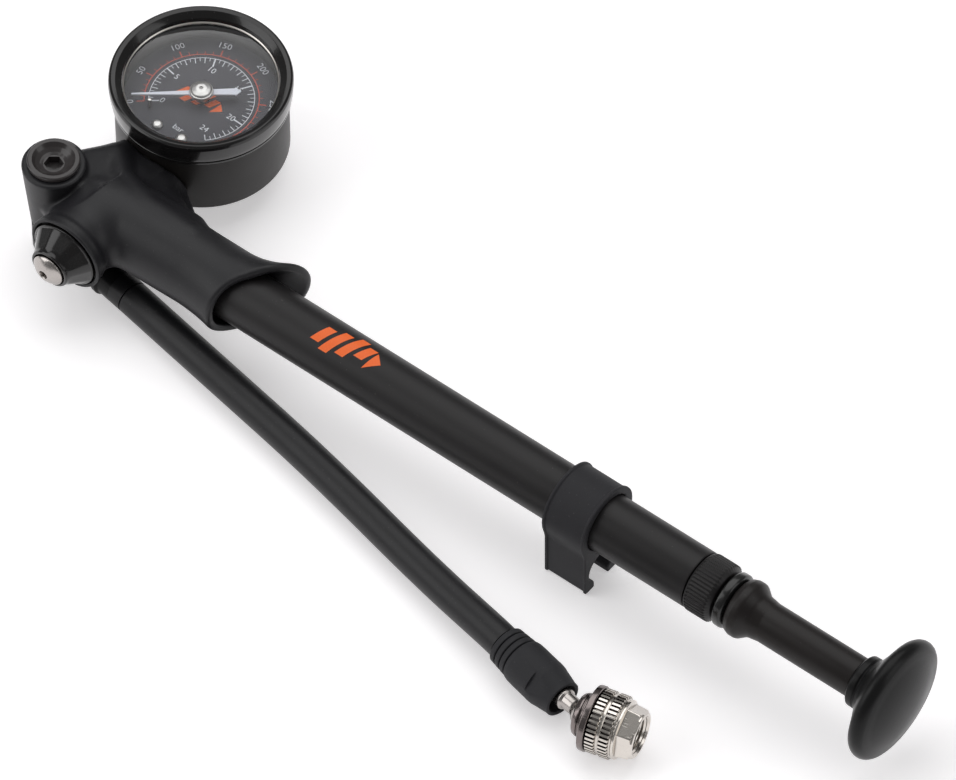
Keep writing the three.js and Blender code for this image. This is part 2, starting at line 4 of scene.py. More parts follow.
import bpy
import numpy as np
from mathutils import Matrix, Vector


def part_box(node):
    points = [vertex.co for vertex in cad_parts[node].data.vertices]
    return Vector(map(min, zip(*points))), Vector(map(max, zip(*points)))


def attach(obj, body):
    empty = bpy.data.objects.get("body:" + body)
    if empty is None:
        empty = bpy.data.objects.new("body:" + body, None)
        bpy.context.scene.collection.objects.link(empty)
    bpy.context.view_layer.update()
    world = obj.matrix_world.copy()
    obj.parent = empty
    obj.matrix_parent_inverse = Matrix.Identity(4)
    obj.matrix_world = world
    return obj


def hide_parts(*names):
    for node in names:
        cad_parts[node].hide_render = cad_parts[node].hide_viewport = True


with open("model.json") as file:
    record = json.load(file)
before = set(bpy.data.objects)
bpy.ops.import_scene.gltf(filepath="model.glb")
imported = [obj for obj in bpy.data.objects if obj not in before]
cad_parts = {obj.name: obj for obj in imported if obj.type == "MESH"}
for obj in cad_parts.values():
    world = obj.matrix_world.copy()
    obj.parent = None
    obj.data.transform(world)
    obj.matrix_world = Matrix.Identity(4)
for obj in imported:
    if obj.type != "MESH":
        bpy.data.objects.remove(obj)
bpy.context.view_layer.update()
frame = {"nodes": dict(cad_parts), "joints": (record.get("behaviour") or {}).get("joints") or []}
scene = bpy.context.scene
scene.view_settings.view_transform = "Standard"
mm = 0.001


# places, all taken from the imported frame
def middle(node):
    low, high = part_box(node)
    return (low + high) / 2


barrelMiddle = middle("barrel_tube")
boltMiddle = middle("pivot_bolt")
gaugeMiddle = middle("gauge_case")
valveMiddle = middle("bleed_valve_housing")
nutJoint = next(joint for joint in frame["joints"] if joint["name"] == "nut_spin")
ballPlace, chuckAxis = Vector(nutJoint["pos_m"]), Vector(nutJoint["axis"])

# x is counted from the hose bolt, y from the barrel's axis and z from the table, in millimetres
origin = Vector((boltMiddle.x, barrelMiddle.y, 0))


def at(x, y, z):
    return origin + Vector((x, y, z)) * mm


def upright(spot):
    return Matrix.Translation((spot.x, spot.y, 0)) @ Matrix.Rotation(radians(-90), 4, "Y")


# a turned piece is made along its own x axis, and these matrices lay it on the pump
alongBarrel = Matrix.Translation((origin.x, origin.y, barrelMiddle.z))
upBolt = upright(boltMiddle)
upGauge = upright(gaugeMiddle)
outOfValve = (Matrix.Translation((valveMiddle.x, origin.y, barrelMiddle.z))
              @ Matrix.Rotation(radians(-90), 4, "Z"))
alongChuck = Matrix.Translation(ballPlace) @ Matrix.Rotation(atan2(chuckAxis.y, chuckAxis.x), 4, "Z")


cameraSettings = {"azimuth": 38.523, "elevation": 52.437, "roll": -0.476, "distance": 2.6273,
                  "lens": 435.3, "aim": (97.1, 29.0, -10.5)}


def makeCamera(s):
    a, e, r = (radians(s[k]) for k in ("azimuth", "elevation", "roll"))
    ahead = Vector((-sin(a) * cos(e), cos(a) * cos(e), -sin(e)))
    right = Vector((cos(a), sin(a), 0))
    up = right.cross(ahead)
    turnedRight = cos(r) * right + sin(r) * up
    turnedUp = cos(r) * up - sin(r) * right
    camera = bpy.data.objects.new("camera", bpy.data.cameras.new("camera"))
    axes = Matrix((turnedRight, turnedUp, -ahead)).transposed().to_4x4()
    camera.matrix_world = Matrix.Translation(at(*s["aim"]) - ahead * s["distance"]) @ axes
    camera.data.lens = s["lens"]
    camera.data.sensor_width = 36
    camera.data.clip_end = 20
    scene.collection.objects.link(camera)
    scene.camera = camera


makeCamera(cameraSettings)
print("camera placed")


class Wire:
    # a number that changes over a surface: Python's operators add the Math nodes
    def __init__(self, paint, socket):
        self.paint = paint
        self.socket = socket

    def do(self, operation, a, b=0.0, clamp=False):
        settings = {"operation": operation, "use_clamp": clamp}
        return Wire(self.paint, self.paint.node("ShaderNodeMath", settings, {0: a, 1: b}).outputs[0])

    def __add__(self, other):
        return self.do("ADD", self, other)

    def __sub__(self, other):
        return self.do("SUBTRACT", self, other)

    def __rsub__(self, other):
        return self.do("SUBTRACT", other, self)

    def __mul__(self, other):
        return self.do("MULTIPLY", self, other)

    def clamped(self):
        return self.do("ADD", self, 0.0, clamp=True)

    __radd__ = __add__
    __rmul__ = __mul__


class Paint:
    # one material; sockets are the Principled shader's values that stay the same all over
    def __init__(self, name, sockets):
        self.material = bpy.data.materials.new(name)
        self.material.use_nodes = True
        self.tree = self.material.node_tree
        self.tree.nodes.clear()
        self.shader = self.node("ShaderNodeBsdfPrincipled", {}, sockets)
        self.output = self.node("ShaderNodeOutputMaterial", {}, {"Surface": self.shader.outputs[0]})
        self.place = self.node("ShaderNodeTexCoord").outputs["Object"]

    def node(self, kind, settings=None, sockets=None):
        made = self.tree.nodes.new(kind)
        for key, value in (settings or {}).items():
            setattr(made, key, value)
        for key, value in (sockets or {}).items():
            value = value.socket if isinstance(value, Wire) else value
            if isinstance(value, bpy.types.NodeSocket):
                self.tree.links.new(value, made.inputs[key])
            else:
                made.inputs[key].default_value = value
        return made

    def stretched(self, scale):
        return self.node("ShaderNodeVectorMath", {"operation": "MULTIPLY"},
                         {0: self.place, 1: scale}).outputs[0]

    def noise(self, grain, detail=2.0, stretch=(1, 1, 1), rough=0.5):
        # grain is the size of the pattern in millimetres
        return Wire(self, self.node("ShaderNodeTexNoise", {}, {
            "Vector": self.stretched(stretch), "Scale": 1 / (grain * mm), "Detail": detail,
            "Roughness": rough}).outputs["Fac"])

    def ramp(self, value, stops):
        # two stops, given as (position, level)
        made = self.node("ShaderNodeValToRGB", {}, {"Fac": value})
        for element, (position, level) in zip(made.color_ramp.elements, stops):
            element.position = position
            element.color = (level, level, level, 1)
        return Wire(self, made.outputs["Color"])

    def crevices(self, size):
        # 1 deep in a groove and 0 on open faces, a mask for painting shade into hollows
        made = self.node("ShaderNodeAmbientOcclusion", {"samples": 8}, {"Distance": size * mm})
        return (1.0 - Wire(self, made.outputs["AO"])).clamped()

    def mix(self, share, first, second):
        made = self.node("ShaderNodeMix", {"data_type": "RGBA"}, {"Factor": share})
        for socket, colour in ((made.inputs[6], first), (made.inputs[7], second)):
            if isinstance(colour, bpy.types.NodeSocket):
                self.tree.links.new(colour, socket)
            else:
                socket.default_value = (*colour, 1)
        return made.outputs[2]

    def feed(self, name, value):
        self.tree.links.new(value.socket if isinstance(value, Wire) else value, self.shader.inputs[name])

    def bump(self, height, depth):
        # depth is the height of the relief in millimetres
        made = self.node("ShaderNodeBump", {}, {"Height": height, "Distance": depth * mm, "Strength": 1.0})
        self.feed("Normal", made.outputs[0])


plastics = {
    # dark and light colour, roughness, size of the grain in mm, relief in mm, gloss, share of dust
    "headPlastic": ((0.009, 0.009, 0.0105), (0.015, 0.0145, 0.017), 0.45, 0.22, 0.018, 0.34, 0.05),
    "clipRubber": ((0.020, 0.0198, 0.0225), (0.026, 0.0255, 0.029), 0.62, 0.25, 0.02, 0.24, 0.08),
    "bootRubber": ((0.020, 0.020, 0.0225), (0.027, 0.027, 0.030), 0.62, 0.2, 0.02, 0.24, 0.06),
    "hoseRubber": ((0.008, 0.008, 0.009), (0.013, 0.0125, 0.014), 0.4, 0.3, 0.012, 0.3, 0.08),
    "sealRubber": ((0.01, 0.01, 0.011), (0.016, 0.016, 0.017), 0.5, 0.2, 0.01, 0.45, 0.05),
    "knobPlastic": ((0.006, 0.006, 0.006), (0.010, 0.010, 0.0105), 0.32, 0.35, 0.008, 0.16, 0.04),
    "stemPlastic": ((0.010, 0.008, 0.0075), (0.015, 0.0125, 0.012), 0.38, 0.3, 0.01, 0.24, 0.04),
}


def mouldedPlastic(name, dark, light, rough, grain, relief, gloss, dust):
    paint = Paint(name, {"Metallic": 0.0, "IOR": 1.5, "Specular IOR Level": gloss})
    cloud = paint.noise(6.0, 3.0)
    fine = paint.noise(grain, 2.0, rough=0.6)
    specks = paint.ramp(paint.noise(0.55, 1.0), [(0.70, 0), (0.76, 1)])
    paint.feed("Base Color", paint.mix(specks * dust, paint.mix(cloud, dark, light), (0.25, 0.24, 0.24)))
    paint.feed("Roughness", rough + (cloud - 0.5) * 0.12 + (fine - 0.5) * 0.1)
    paint.bump(fine + paint.noise(grain * 9, 2.0) * 0.8, relief)
    return paint.material


metals = {
    # colour and its darker shade, roughness, pitch of the turning marks in mm, relief in mm
    "nickel": ((0.70, 0.66, 0.61), (0.56, 0.52, 0.48), 0.14, 0.3, 0.0008),
    "darkNickel": ((0.22, 0.19, 0.185), (0.15, 0.13, 0.125), 0.17, 0.12, 0.003),
    "warmNickel": ((0.46, 0.43, 0.41), (0.34, 0.315, 0.3), 0.2, 0.3, 0.0008),
    "satinNickel": ((0.74, 0.71, 0.67), (0.6, 0.57, 0.53), 0.34, 0.12, 0.002),
    "steel": ((0.6, 0.58, 0.56), (0.46, 0.44, 0.42), 0.16, 0.2, 0.003),
    "brass": ((0.62, 0.43, 0.17), (0.45, 0.29, 0.11), 0.22, 0.15, 0.004),
}


def turnedMetal(name, colour, shade, rough, pitch, relief):
    paint = Paint(name, {"Metallic": 1.0, "IOR": 2.0})
    marks = paint.noise(1.0, 3.0, stretch=(1 / pitch, 0.05, 0.05))
    smudge = paint.noise(4.0, 3.0)
    scratch = paint.ramp(paint.noise(0.9, 1.0, stretch=(0.15, 1.6, 1.6)), [(0.66, 0), (0.70, 1)])
    # painted shade: the grooves, slots and sockets are darkened towards a dark brown-grey where occlusion
    # is high
    paintedCreviceShade = (paint.crevices(0.7) * 1.9 - 0.25).clamped()
    paint.feed("Base Color", paint.mix(paintedCreviceShade, paint.mix(smudge * 0.6, colour, shade), (0.06, 0.05, 0.045)))
    paint.feed("Roughness", rough + smudge * 0.08 + scratch * 0.12 + (marks - 0.5) * 0.06)
    paint.bump(marks + scratch * 0.3, relief)
    return paint.material


def anodisedTube(name, dark, light, rough, relief):
    paint = Paint(name, {"Metallic": 0.2, "IOR": 1.5, "Specular IOR Level": 0.34})
    drawn = paint.noise(0.5, 3.0, stretch=(0.04, 1.5, 1.5))
    blasted = paint.noise(0.16, 2.0, rough=0.6)
    cloud = paint.noise(9.0, 2.0)
    speck = paint.ramp(paint.noise(0.4, 0.0), [(0.84, 0), (0.86, 1)])
    paint.feed("Base Color", paint.mix(speck * 0.15, paint.mix(cloud, dark, light), (0.2, 0.19, 0.18)))
    paint.feed("Roughness", rough + (cloud - 0.5) * 0.08 + (drawn - 0.5) * 0.06)
    paint.bump(blasted + drawn * 0.5, relief)
    return paint.material


paints = {
    # dark and light colour, roughness, clear coat, relief in mm
    "caseBlack": ((0.010, 0.0085, 0.008), (0.015, 0.013, 0.012), 0.4, 0.12, 0.01),
    "bezelBlack": ((0.004, 0.004, 0.004), (0.007, 0.006, 0.006), 0.16, 0.5, 0.004),
    "bumperBlack": ((0.006, 0.006, 0.006), (0.009, 0.009, 0.009), 0.22, 0.4, 0.006),
    "boltBlack": ((0.024, 0.021, 0.021), (0.036, 0.031, 0.031), 0.26, 0.5, 0.006),
    "dialCard": ((0.052, 0.048, 0.056), (0.07, 0.065, 0.074), 0.5, 0.15, 0.004),
}


def glossPaint(name, dark, light, rough, coat, relief):
    paint = Paint(name, {"Metallic": 0.0, "IOR": 1.5, "Specular IOR Level": 0.34, "Coat Roughness": 0.06,
                         "Coat IOR": 1.4})
    peel = paint.noise(1.3, 2.0)
    haze = paint.noise(5.0, 3.0)
    dust = paint.ramp(paint.noise(0.5, 1.0), [(0.72, 0), (0.78, 1)])
    paint.feed("Base Color", paint.mix(dust * 0.05, paint.mix(haze, dark, light), (0.3, 0.3, 0.3)))
    paint.feed("Roughness", rough + haze * 0.08 + dust * 0.2)
    paint.feed("Coat Weight", coat - haze * 0.15)
    paint.bump(peel + paint.noise(0.2, 2.0) * 0.15, relief)
    return paint.material


inks = {
    # dark and light colour, roughness
    "whiteInk": ((0.82, 0.82, 0.88), (0.9, 0.9, 0.95), 0.45),
    "dialWhite": ((0.72, 0.72, 0.74), (0.84, 0.84, 0.86), 0.5),
    "orangeInk": ((0.86, 0.13, 0.016), (0.95, 0.17, 0.03), 0.4),
    "dialOrange": ((0.62, 0.09, 0.05), (0.75, 0.12, 0.06), 0.45),
}


def printedInk(name, dark, light, rough):
    paint = Paint(name, {"Metallic": 0.0, "Specular IOR Level": 0.35})
    patch = paint.noise(0.35, 2.0)
    paint.feed("Base Color", paint.mix(patch, dark, light))
    paint.feed("Roughness", rough + patch * 0.1)
    paint.bump(patch, 0.01)
    return paint.material


def clearLens(name):
    paint = Paint(name, {"Base Color": (0.93, 0.95, 0.96, 1), "Roughness": 0.02})
    clear = paint.node("ShaderNodeBsdfTransparent", {}, {"Color": (0.97, 0.98, 0.99, 1)})
    shine = paint.node("ShaderNodeBsdfGlossy", {}, {"Color": (1, 1, 1, 1), "Roughness": 0.02})
    fresnel = Wire(paint, paint.node("ShaderNodeFresnel", {}, {"IOR": 1.4}).outputs[0])
    both = paint.node("ShaderNodeMixShader", {},
                      {0: fresnel * 0.34, 1: clear.outputs[0], 2: shine.outputs[0]})
    paint.tree.links.new(both.outputs[0], paint.output.inputs["Surface"])
    return paint.material


finishes = {
    "barrelBlack": anodisedTube("barrelBlack", (0.010, 0.009, 0.0092), (0.015, 0.0138, 0.0145),
                                0.42, 0.006),
    "lens": clearLens("lens"),
}
kinds = ((mouldedPlastic, plastics), (turnedMetal, metals), (glossPaint, paints), (printedInk, inks))
for make, table in kinds:
    for name, values in table.items():
        finishes[name] = make(name, *values)
print("finishes made:", len(finishes))


tiny = 1e-6


def addMesh(name, points, faces, place, finish, body, slot, nodes=(), sharp=40):
    # points are in millimetres in the piece's own axes
    mesh = bpy.data.meshes.new(name)
    mesh.from_pydata([tuple(p) for p in np.asarray(points) * mm], [], [tuple(f) for f in faces])
    mesh.validate()
    mesh.shade_smooth()
    mesh.set_sharp_from_angle(angle=radians(sharp))
    mesh.materials.append(finishes[finish])
    piece = bpy.data.objects.new(name, mesh)
    scene.collection.objects.link(piece)
    piece.matrix_world = place
    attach(piece, body)
    if nodes:
        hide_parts(*nodes)
    return piece


def rounded(profile, steps=4):
    # a profile's corners, given as (along, radius, corner radius), turned into short arcs
    made = []
    for i, corner in enumerate(profile):
        here = np.array(corner[:2], float)
        size = corner[2] if len(corner) > 2 else 0
        if not size or i in (0, len(profile) - 1):
            made.append(here)
            continue
        before = np.array(profile[i - 1][:2], float) - here
        after = np.array(profile[i + 1][:2], float) - here
        a, b = np.linalg.norm(before), np.linalg.norm(after)
        before, after = before / a, after / b
        half = acos(max(-1, min(1, before @ after))) / 2
        reach = min(size / tan(half), 0.48 * a, 0.48 * b)
        start, end = here + before * reach, here + after * reach
        for k in range(steps + 1):
            t = k / steps
            made.append((1 - t) ** 2 * start + 2 * t * (1 - t) * here + t ** 2 * end)
    return made


def spin(profile, sides=96, shape=None):
    # a profile turned about x; shape(along, angle, radius) may press flats or ribs into it
    rows = [np.array(p, float) for p in profile]
    isRing = np.linalg.norm(rows[0] - rows[-1]) < tiny
    if isRing:
        rows = rows[:-1]
    angles = np.arange(sides) * 2 * np.pi / sides
    points, starts = [], []
    for along, radius in rows:
        starts.append(len(points))
        if radius < tiny:
            points.append((along, 0, 0))
            continue
        radii = np.zeros(sides) + (shape(along, angles, radius) if shape else radius)
        points.extend(zip([along] * sides, radii * np.cos(angles), radii * np.sin(angles)))
    faces = []
    for i in range(len(rows) if isRing else len(rows) - 1):
        j = (i + 1) % len(rows)
        onAxis = rows[i][1] < tiny, rows[j][1] < tiny
        for k in range(sides):
            n = (k + 1) % sides
            a, b, c, d = starts[i] + k, starts[i] + n, starts[j] + n, starts[j] + k
            if onAxis[0] and not onAxis[1]:
                faces.append((starts[i], c, d))
            elif onAxis[1] and not onAxis[0]:
                faces.append((a, b, starts[j]))
            elif not onAxis[0]:
                faces.append((a, b, c, d))
    points = np.array(points)
    volume = sum(float(a @ np.cross(b, c)) for a, b, c in (points[list(f[:3])] for f in faces))
    return points, faces if volume > 0 else [f[::-1] for f in faces]


def turnedPiece(name, profile, place, finish, body, slot, nodes=(), sides=96, shape=None, sharp=40):
    points, faces = spin(rounded(profile), sides, shape)
    return addMesh(name, points, faces, place, finish, body, slot, nodes, sharp)


def merged(parts):
    points, faces, count = [], [], 0
    for p, f in parts:
        points.append(np.asarray(p, float))
        faces.extend([tuple(i + count for i in face) for face in f])
        count += len(p)
    return np.concatenate(points), faces


def surfaceNet(field, low, high, step):
    # the field's zero surface as quads: one point in each cell that it passes through
    axes = [np.arange(a, b + step, step) for a, b in zip(low, high)]
    grid = np.stack(np.meshgrid(*axes, indexing="ij"), -1)
    value = field(grid.reshape(-1, 3)).reshape(grid.shape[:3])
    nx, ny, nz = (n - 1 for n in value.shape)
    total, crossings = np.zeros((nx, ny, nz, 3)), np.zeros((nx, ny, nz))
    for a in np.ndindex(2, 2, 2):
        for axis in range(3):
            if a[axis]:
                continue
            b = tuple(v + (n == axis) for n, v in enumerate(a))
            fa, fb = (value[o[0]:o[0] + nx, o[1]:o[1] + ny, o[2]:o[2] + nz] for o in (a, b))
            cross = (fa < 0) != (fb < 0)
            share = np.where(cross, fa / np.where(cross, fa - fb, 1), 0)
            place = np.array(a, float) + share[..., None] * (np.arange(3) == axis)
            total += np.where(cross[..., None], place, 0)
            crossings += cross
    used = crossings > 0
    index = np.full(used.shape, -1)
    index[used] = np.arange(used.sum())
    cells = np.argwhere(used)
    points = np.array(low) + step * (cells + total[used] / crossings[used][:, None])
    faces = []
    for axis in range(3):
        u, v = (axis + 1) % 3, (axis + 2) % 3
        first = value[tuple(slice(0, -1) if n == axis else slice(1, -1) for n in range(3))]
        second = value[tuple(slice(1, None) if n == axis else slice(1, -1) for n in range(3))]
        for c in np.argwhere((first < 0) != (second < 0)):
            base = c + (np.arange(3) != axis)
            ring = []
            for du, dv in ((-1, -1), (0, -1), (0, 0), (-1, 0)):
                cell = base.copy()
                cell[u] += du
                cell[v] += dv
                ring.append(index[tuple(cell)])
            faces.append(ring if first[tuple(c)] < 0 else ring[::-1])
    for _ in range(3):  # draw the points onto the surface itself
        here = field(points)
        slope = np.stack([field(points + d) - field(points - d) for d in np.eye(3) * 0.05], -1) / 0.1
        size = np.maximum((slope ** 2).sum(-1), 0.2)
        move = np.clip(here / size, -0.35 * step, 0.35 * step)
        points = points - slope * move[:, None]
    return points, faces


# solid fields, in millimetres: negative inside
def vectors(*places):
    return [np.array(place, float) for place in places]


def blend(a, b, size):
    share = np.clip(0.5 + 0.5 * (b - a) / size, 0, 1)
    return b + (a - b) * share - size * share * (1 - share)


def carve(solid, tool, size):
    return -blend(-solid, tool, size)


def rodField(p, start, end, startRadius, endRadius, edge):
    start, end = vectors(start, end)
    length = np.linalg.norm(end - start)
    axis = (end - start) / length
    along = (p - start) @ axis
    out = np.linalg.norm(p - start - along[:, None] * axis, axis=1)
    share = np.clip(along / length, 0, 1)
    over = out - (startRadius + share * (endRadius - startRadius)) + edge
    past = np.maximum(-along, along - length) + edge
    corner = np.hypot(np.maximum(over, 0), np.maximum(past, 0))
    return np.minimum(np.maximum(over, past), 0) + corner - edge


def ballsField(p, start, end, startRadius, endRadius):
    start, end = vectors(start, end)
    share = np.clip(((p - start) @ (end - start)) / ((end - start) @ (end - start)), 0, 1)
    away = np.linalg.norm(p - start - share[:, None] * (end - start), axis=1)
    return away - startRadius - share * (endRadius - startRadius)


def slabField(p, a, b, c, thick):
    # a triangle with rounded edges, that thick on each side
    a, b, c = vectors(a, b, c)
    normal = np.cross(b - a, c - a)
    normal /= np.linalg.norm(normal)
    height = (p - a) @ normal
    flat = p - height[:, None] * normal
    inside = np.ones(len(p), bool)
    away = np.full(len(p), np.inf)
    for s, e in ((a, b), (b, c), (c, a)):
        inside &= ((flat - s) @ np.cross(normal, e - s)) >= 0
        share = np.clip(((p - s) @ (e - s)) / ((e - s) @ (e - s)), 0, 1)
        away = np.minimum(away, np.linalg.norm(p - s - share[:, None] * (e - s), axis=1))
    return np.where(inside, np.abs(height), away) - thick


def boxField(p, low, high, edge):
    low, high = vectors(low, high)
    d = np.abs(p - (low + high) / 2) - (high - low) / 2 + edge
    return np.linalg.norm(np.maximum(d, 0), axis=1) + np.minimum(d.max(1), 0) - edge


# the hose is a free cord, laid on the table
hose = {
    "diameter": 8.1,
    "route": [(26.1, -7.4, 4.4), (29.1, -7.95, 4.4), (39.4, -9.8, 4.4), (49.5, -11.6, 4.4),
              (64.7, -14.3, 4.4), (74.8, -16.1, 4.4), (84.8, -18.0, 4.4), (94.9, -20.1, 4.4),
              (104.9, -22.3, 4.4), (114.9, -24.6, 4.4), (124.9, -26.85, 4.5), (134.8, -29.05, 4.9),
              (144.7, -31.2, 5.6), (149.6, -32.25, 5.9), (153.5, -33.1, 6.0)],
}


def smoothLine(route, steps):
    ends = [2 * route[0] - route[1], *route, 2 * route[-1] - route[-2]]
    line = []
    for a, b, c, d in zip(ends, ends[1:], ends[2:], ends[3:]):
        for k in range(steps):
            t = k / steps
            line.append(0.5 * (2 * b + (c - a) * t + (2 * a - 5 * b + 4 * c - d) * t ** 2
                               + (3 * b - a - 3 * c + d) * t ** 3))
    return line + [route[-1]]


def makeHose(s):
    line = smoothLine([at(*p) for p in s["route"]], 10)
    curve = bpy.data.curves.new("hose", "CURVE")
    curve.dimensions = "3D"
    curve.bevel_depth = s["diameter"] / 2 * mm
    curve.bevel_resolution = 14
    curve.use_fill_caps = True
    spline = curve.splines.new("POLY")
    spline.points.add(len(line) - 1)
    for point, place in zip(spline.points, line):
        point.co = (*place, 1)
    spline.use_smooth = True
    curve.materials.append(finishes["hoseRubber"])
    piece = bpy.data.objects.new("hose_line", curve)
    scene.collection.objects.link(piece)
    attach(piece, "hose")
    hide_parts("hose_tube")
    length = sum((b - a).length for a, b in zip(line, line[1:]))
    return piece, length


hosePiece, hoseLength = makeHose(hose)
hoseEnd = at(*hose["route"][-1])
toBall = (ballPlace - hoseEnd).xy
bootTurn = atan2(toBall.y, toBall.x)
alongBoot = (Matrix.Translation(hoseEnd + Vector((cos(bootTurn), sin(bootTurn), 0)) * 0.3 * mm)
             @ Matrix.Rotation(bootTurn, 4, "Z"))
print(f"hose laid, {hoseLength:.4f} m")


# the head casting: boss, web, gauge arm, valve trunk and the sleeve with its flared mouth
head = {
    "sleeve": 9.1, "sleeveStart": 13.0, "boreStart": 22.5, "bore": 7.3,
    "rimNear": 51.0, "rimReach": 11.1, "rimRadius": 9.7, "rimFlare": 4.0, "lip": 2.1,
    "boltY": -2.6, "bossTop": 10.2, "bossFoot": -9.2, "valveX": 13.3, "valveFace": 15.5,
    "gauge": (11.6, 36.1), "step": 0.38,
}


def mouthField(p, s):
    # the sleeve and its mouth, whose rim leans and widens towards the gauge side
    out = np.maximum(np.hypot(p[:, 1], p[:, 2]), 1e-6)
    side = p[:, 1] / out
    lean = (1 + side) / 2
    rim = s["rimNear"] + s["rimReach"] * lean ** 1.5
    wide = s["rimRadius"] + np.where(side > 0, s["rimFlare"] * np.abs(side) ** 1.2, np.abs(side) ** 1.5)
    flare = np.clip((p[:, 0] - rim + 13) / 13, 0, 1) ** 2.2
    root = s["sleeve"] + np.clip((40 - p[:, 0]) / 24, 0, 1) * 0.4
    outside = out - root - (wide - s["sleeve"]) * flare
    solid = carve(np.maximum(outside, s["sleeveStart"] - p[:, 0]), rim - p[:, 0], 1.4)
    opening = np.clip((p[:, 0] - rim + 8) / 8, 0, 1) ** 1.4
    inside = s["bore"] + (wide - s["lip"] - s["bore"]) * opening
    return solid, np.maximum(out - inside, s["boreStart"] - p[:, 0])


def headField(p):
    s = head
    boss = rodField(p, (0, s["boltY"], s["bossFoot"]), (0, s["boltY"], s["bossTop"]), 5.9, 7.45, 0.7)
    solid, bore = mouthField(p, s)
    # the ridge climbs from the gauge to the top of the sleeve
    ridge = [(5.9, 18.5, -0.9), (6.9, 12.2, 2.5), (12.0, 6.9, 4.8), (22.5, 2.8, 6.0), (35.2, 2.4, 6.2)]
    crest = np.minimum.reduce([ballsField(p, a, b, 2.4, 2.4) for a, b in zip(ridge, ridge[1:])])
    wall = slabField(p, (0.5, 1.0, 7.0), (5.0, 12.2, 2.6), (5.6, 0.0, 5.4), 2.2)
    back = slabField(p, (0.5, 1.0, 6.2), (5.2, 14.0, 1.4), (3.6, 6.0, -4.0), 2.0)
    web = slabField(p, (5.0, -1.0, 5.2), (6.6, 11.8, 2.7), (14.0, -3.0, 5.2), 2.4)
    low = slabField(p, (4.6, -1.4, 5.2), (3.4, -7.4, 0.6), (13.0, -4.0, 4.6), 2.4)
    core = ballsField(p, (3.5, -1.5, -2.0), (16, -1.0, -1.0), 6.4, 8.4)
    x = s["valveX"]
    trunk = rodField(p, (x, 1, 0.4), (x, -14.2, 0), 7.4, 9.3, 2.0)
    collar = rodField(p, (x, -12.6, 0), (x, -s["valveFace"], 0), 9.3, 9.9, 0.6)
    arm = np.minimum(boxField(p, (4.2, 3.0, -6.4), (17.0, 20.5, 3.4), 2.6),
                     ballsField(p, (15.5, 4.0, -1.8), (16.5, 20.0, -2.6), 5.0, 4.0))
    ledge = np.minimum(slabField(p, (6, 8, -4.5), (33, 6.2, -2.4), (21.0, 14.8, -4.6), 3.0),
                       ballsField(p, (17, 13.0, -3.2), (30, 5.5, -1.4), 4.4, 4.6))
    pad = boxField(p, (20, 1.0, -4.0), (35.3, 9.4, 5.4), 2.6)
    for piece, size in ((core, 3.0), (web, 2.4), (low, 1.4), (back, 1.6), (trunk, 3.2), (arm, 3.2),
                        (ledge, 3.2), (crest, 1.6), (wall, 1.4), (pad, 2.2)):
        solid = blend(solid, piece, size)
    solid = blend(solid, boss, 1.0)
    solid = blend(solid, collar, 1.2)
    gx, gy = s["gauge"]
    # the bolt's seat and hole, the valve's seat, then the room for the gauge case and its bezel
    y = s["boltY"]
    drills = (((0, y, 5.4), (0, y, 14), 5.0), ((0, y, -12), (0, y, 6), 3.3),
              ((x, -13.4, 0), (x, -20, 0), 8.85), ((gx, gy, -30), (gx, gy, 30), 20.3),
              ((gx, gy, 4.8), (gx, gy, 30), 21.5))
    tools = [bore] + [rodField(p, start, end, radius, radius, 0) for start, end, radius in drills]
    hollow = ballsField(p, (13.0, 15.2, 7.1), (24.5, 11.6, 5.2), 3.3, 2.6)
    solid = carve(solid, hollow, 1.8)
    for tool in tools:
        solid = carve(solid, tool, 0.5)
    return np.maximum(solid, s["bossFoot"] - p[:, 2])


def makeHead():
    points, faces = surfaceNet(headField, (-8.6, -16.4, -9.9), (64.5, 20.5, 11.4),
                               head["step"])
    addMesh("head_shell", points, faces, alongBarrel, "headPlastic", "pump_body", "cast_plastic",
            ["head_casting"], sharp=80)


makeHead()
print("head made")


def box(node):
    low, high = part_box(node)
    return (low - origin) / mm, (high - origin) / mm


def spanOf(node):
    low, high = box(node)
    return {"start": low.x, "end": high.x, "radius": (high.z - low.z) / 2}


barrel = {**spanOf("barrel_tube"), "bore": 6.0}
cap = {**spanOf("barrel_end_cap"), "seat": barrel["end"] + 0.3, "ribs": 48, "depth": 0.26}
bumper = {**spanOf("bumper_ring"), "radius": 6.75}
stem = {**spanOf("handle_stem"), "radius": 4.85, "collar": 7.0}
knob = {**spanOf("handle_knob"), "edge": 2.2}
rod = {"radius": 3.5}


def makeBarrel(s):
    r, a, b = s["radius"], s["start"], s["end"]
    turnedPiece("barrel_skin", [
        (a, s["bore"]), (a, r, 0.3), (b, r, 0.35), (b, s["bore"], 0.2), (a, s["bore"]),
    ], alongBarrel, "barrelBlack", "pump_body", "anodised_tube", ["barrel_tube"], sides=144)


def makeCap(s):
    spigot, a, b = s["start"], s["seat"], s["end"]

    def ribs(along, angle, radius):
        if radius < 6.9 or not a + 0.4 < along < b - 1.0:
            return radius
        wave = np.cos(angle * s["ribs"])
        return radius - s["depth"] * np.clip(0.5 - wave * 1.1, 0, 1)

    turnedPiece("barrel_cap", [
        (spigot, 4.9), (spigot, 5.7, 0.2), (a, 5.7), (a, 6.85, 0.15), (a + 0.4, 7.0), (a + 0.45, 7.15),
        (a + 1, 7.2), (b - 1.6, 7.2), (b - 1.1, 7.15), (b - 1.0, 6.85), (b - 0.2, 6.1, 0.2), (b, 5.6, 0.15),
        (b, 3.9, 0.15), (b - 3.2, 3.9), (b - 3.2, 4.9), (spigot, 4.9),
    ], alongBarrel, "barrelBlack", "pump_body", "anodised_tube", ["barrel_end_cap"],
        sides=s["ribs"] * 8, shape=ribs, sharp=50)


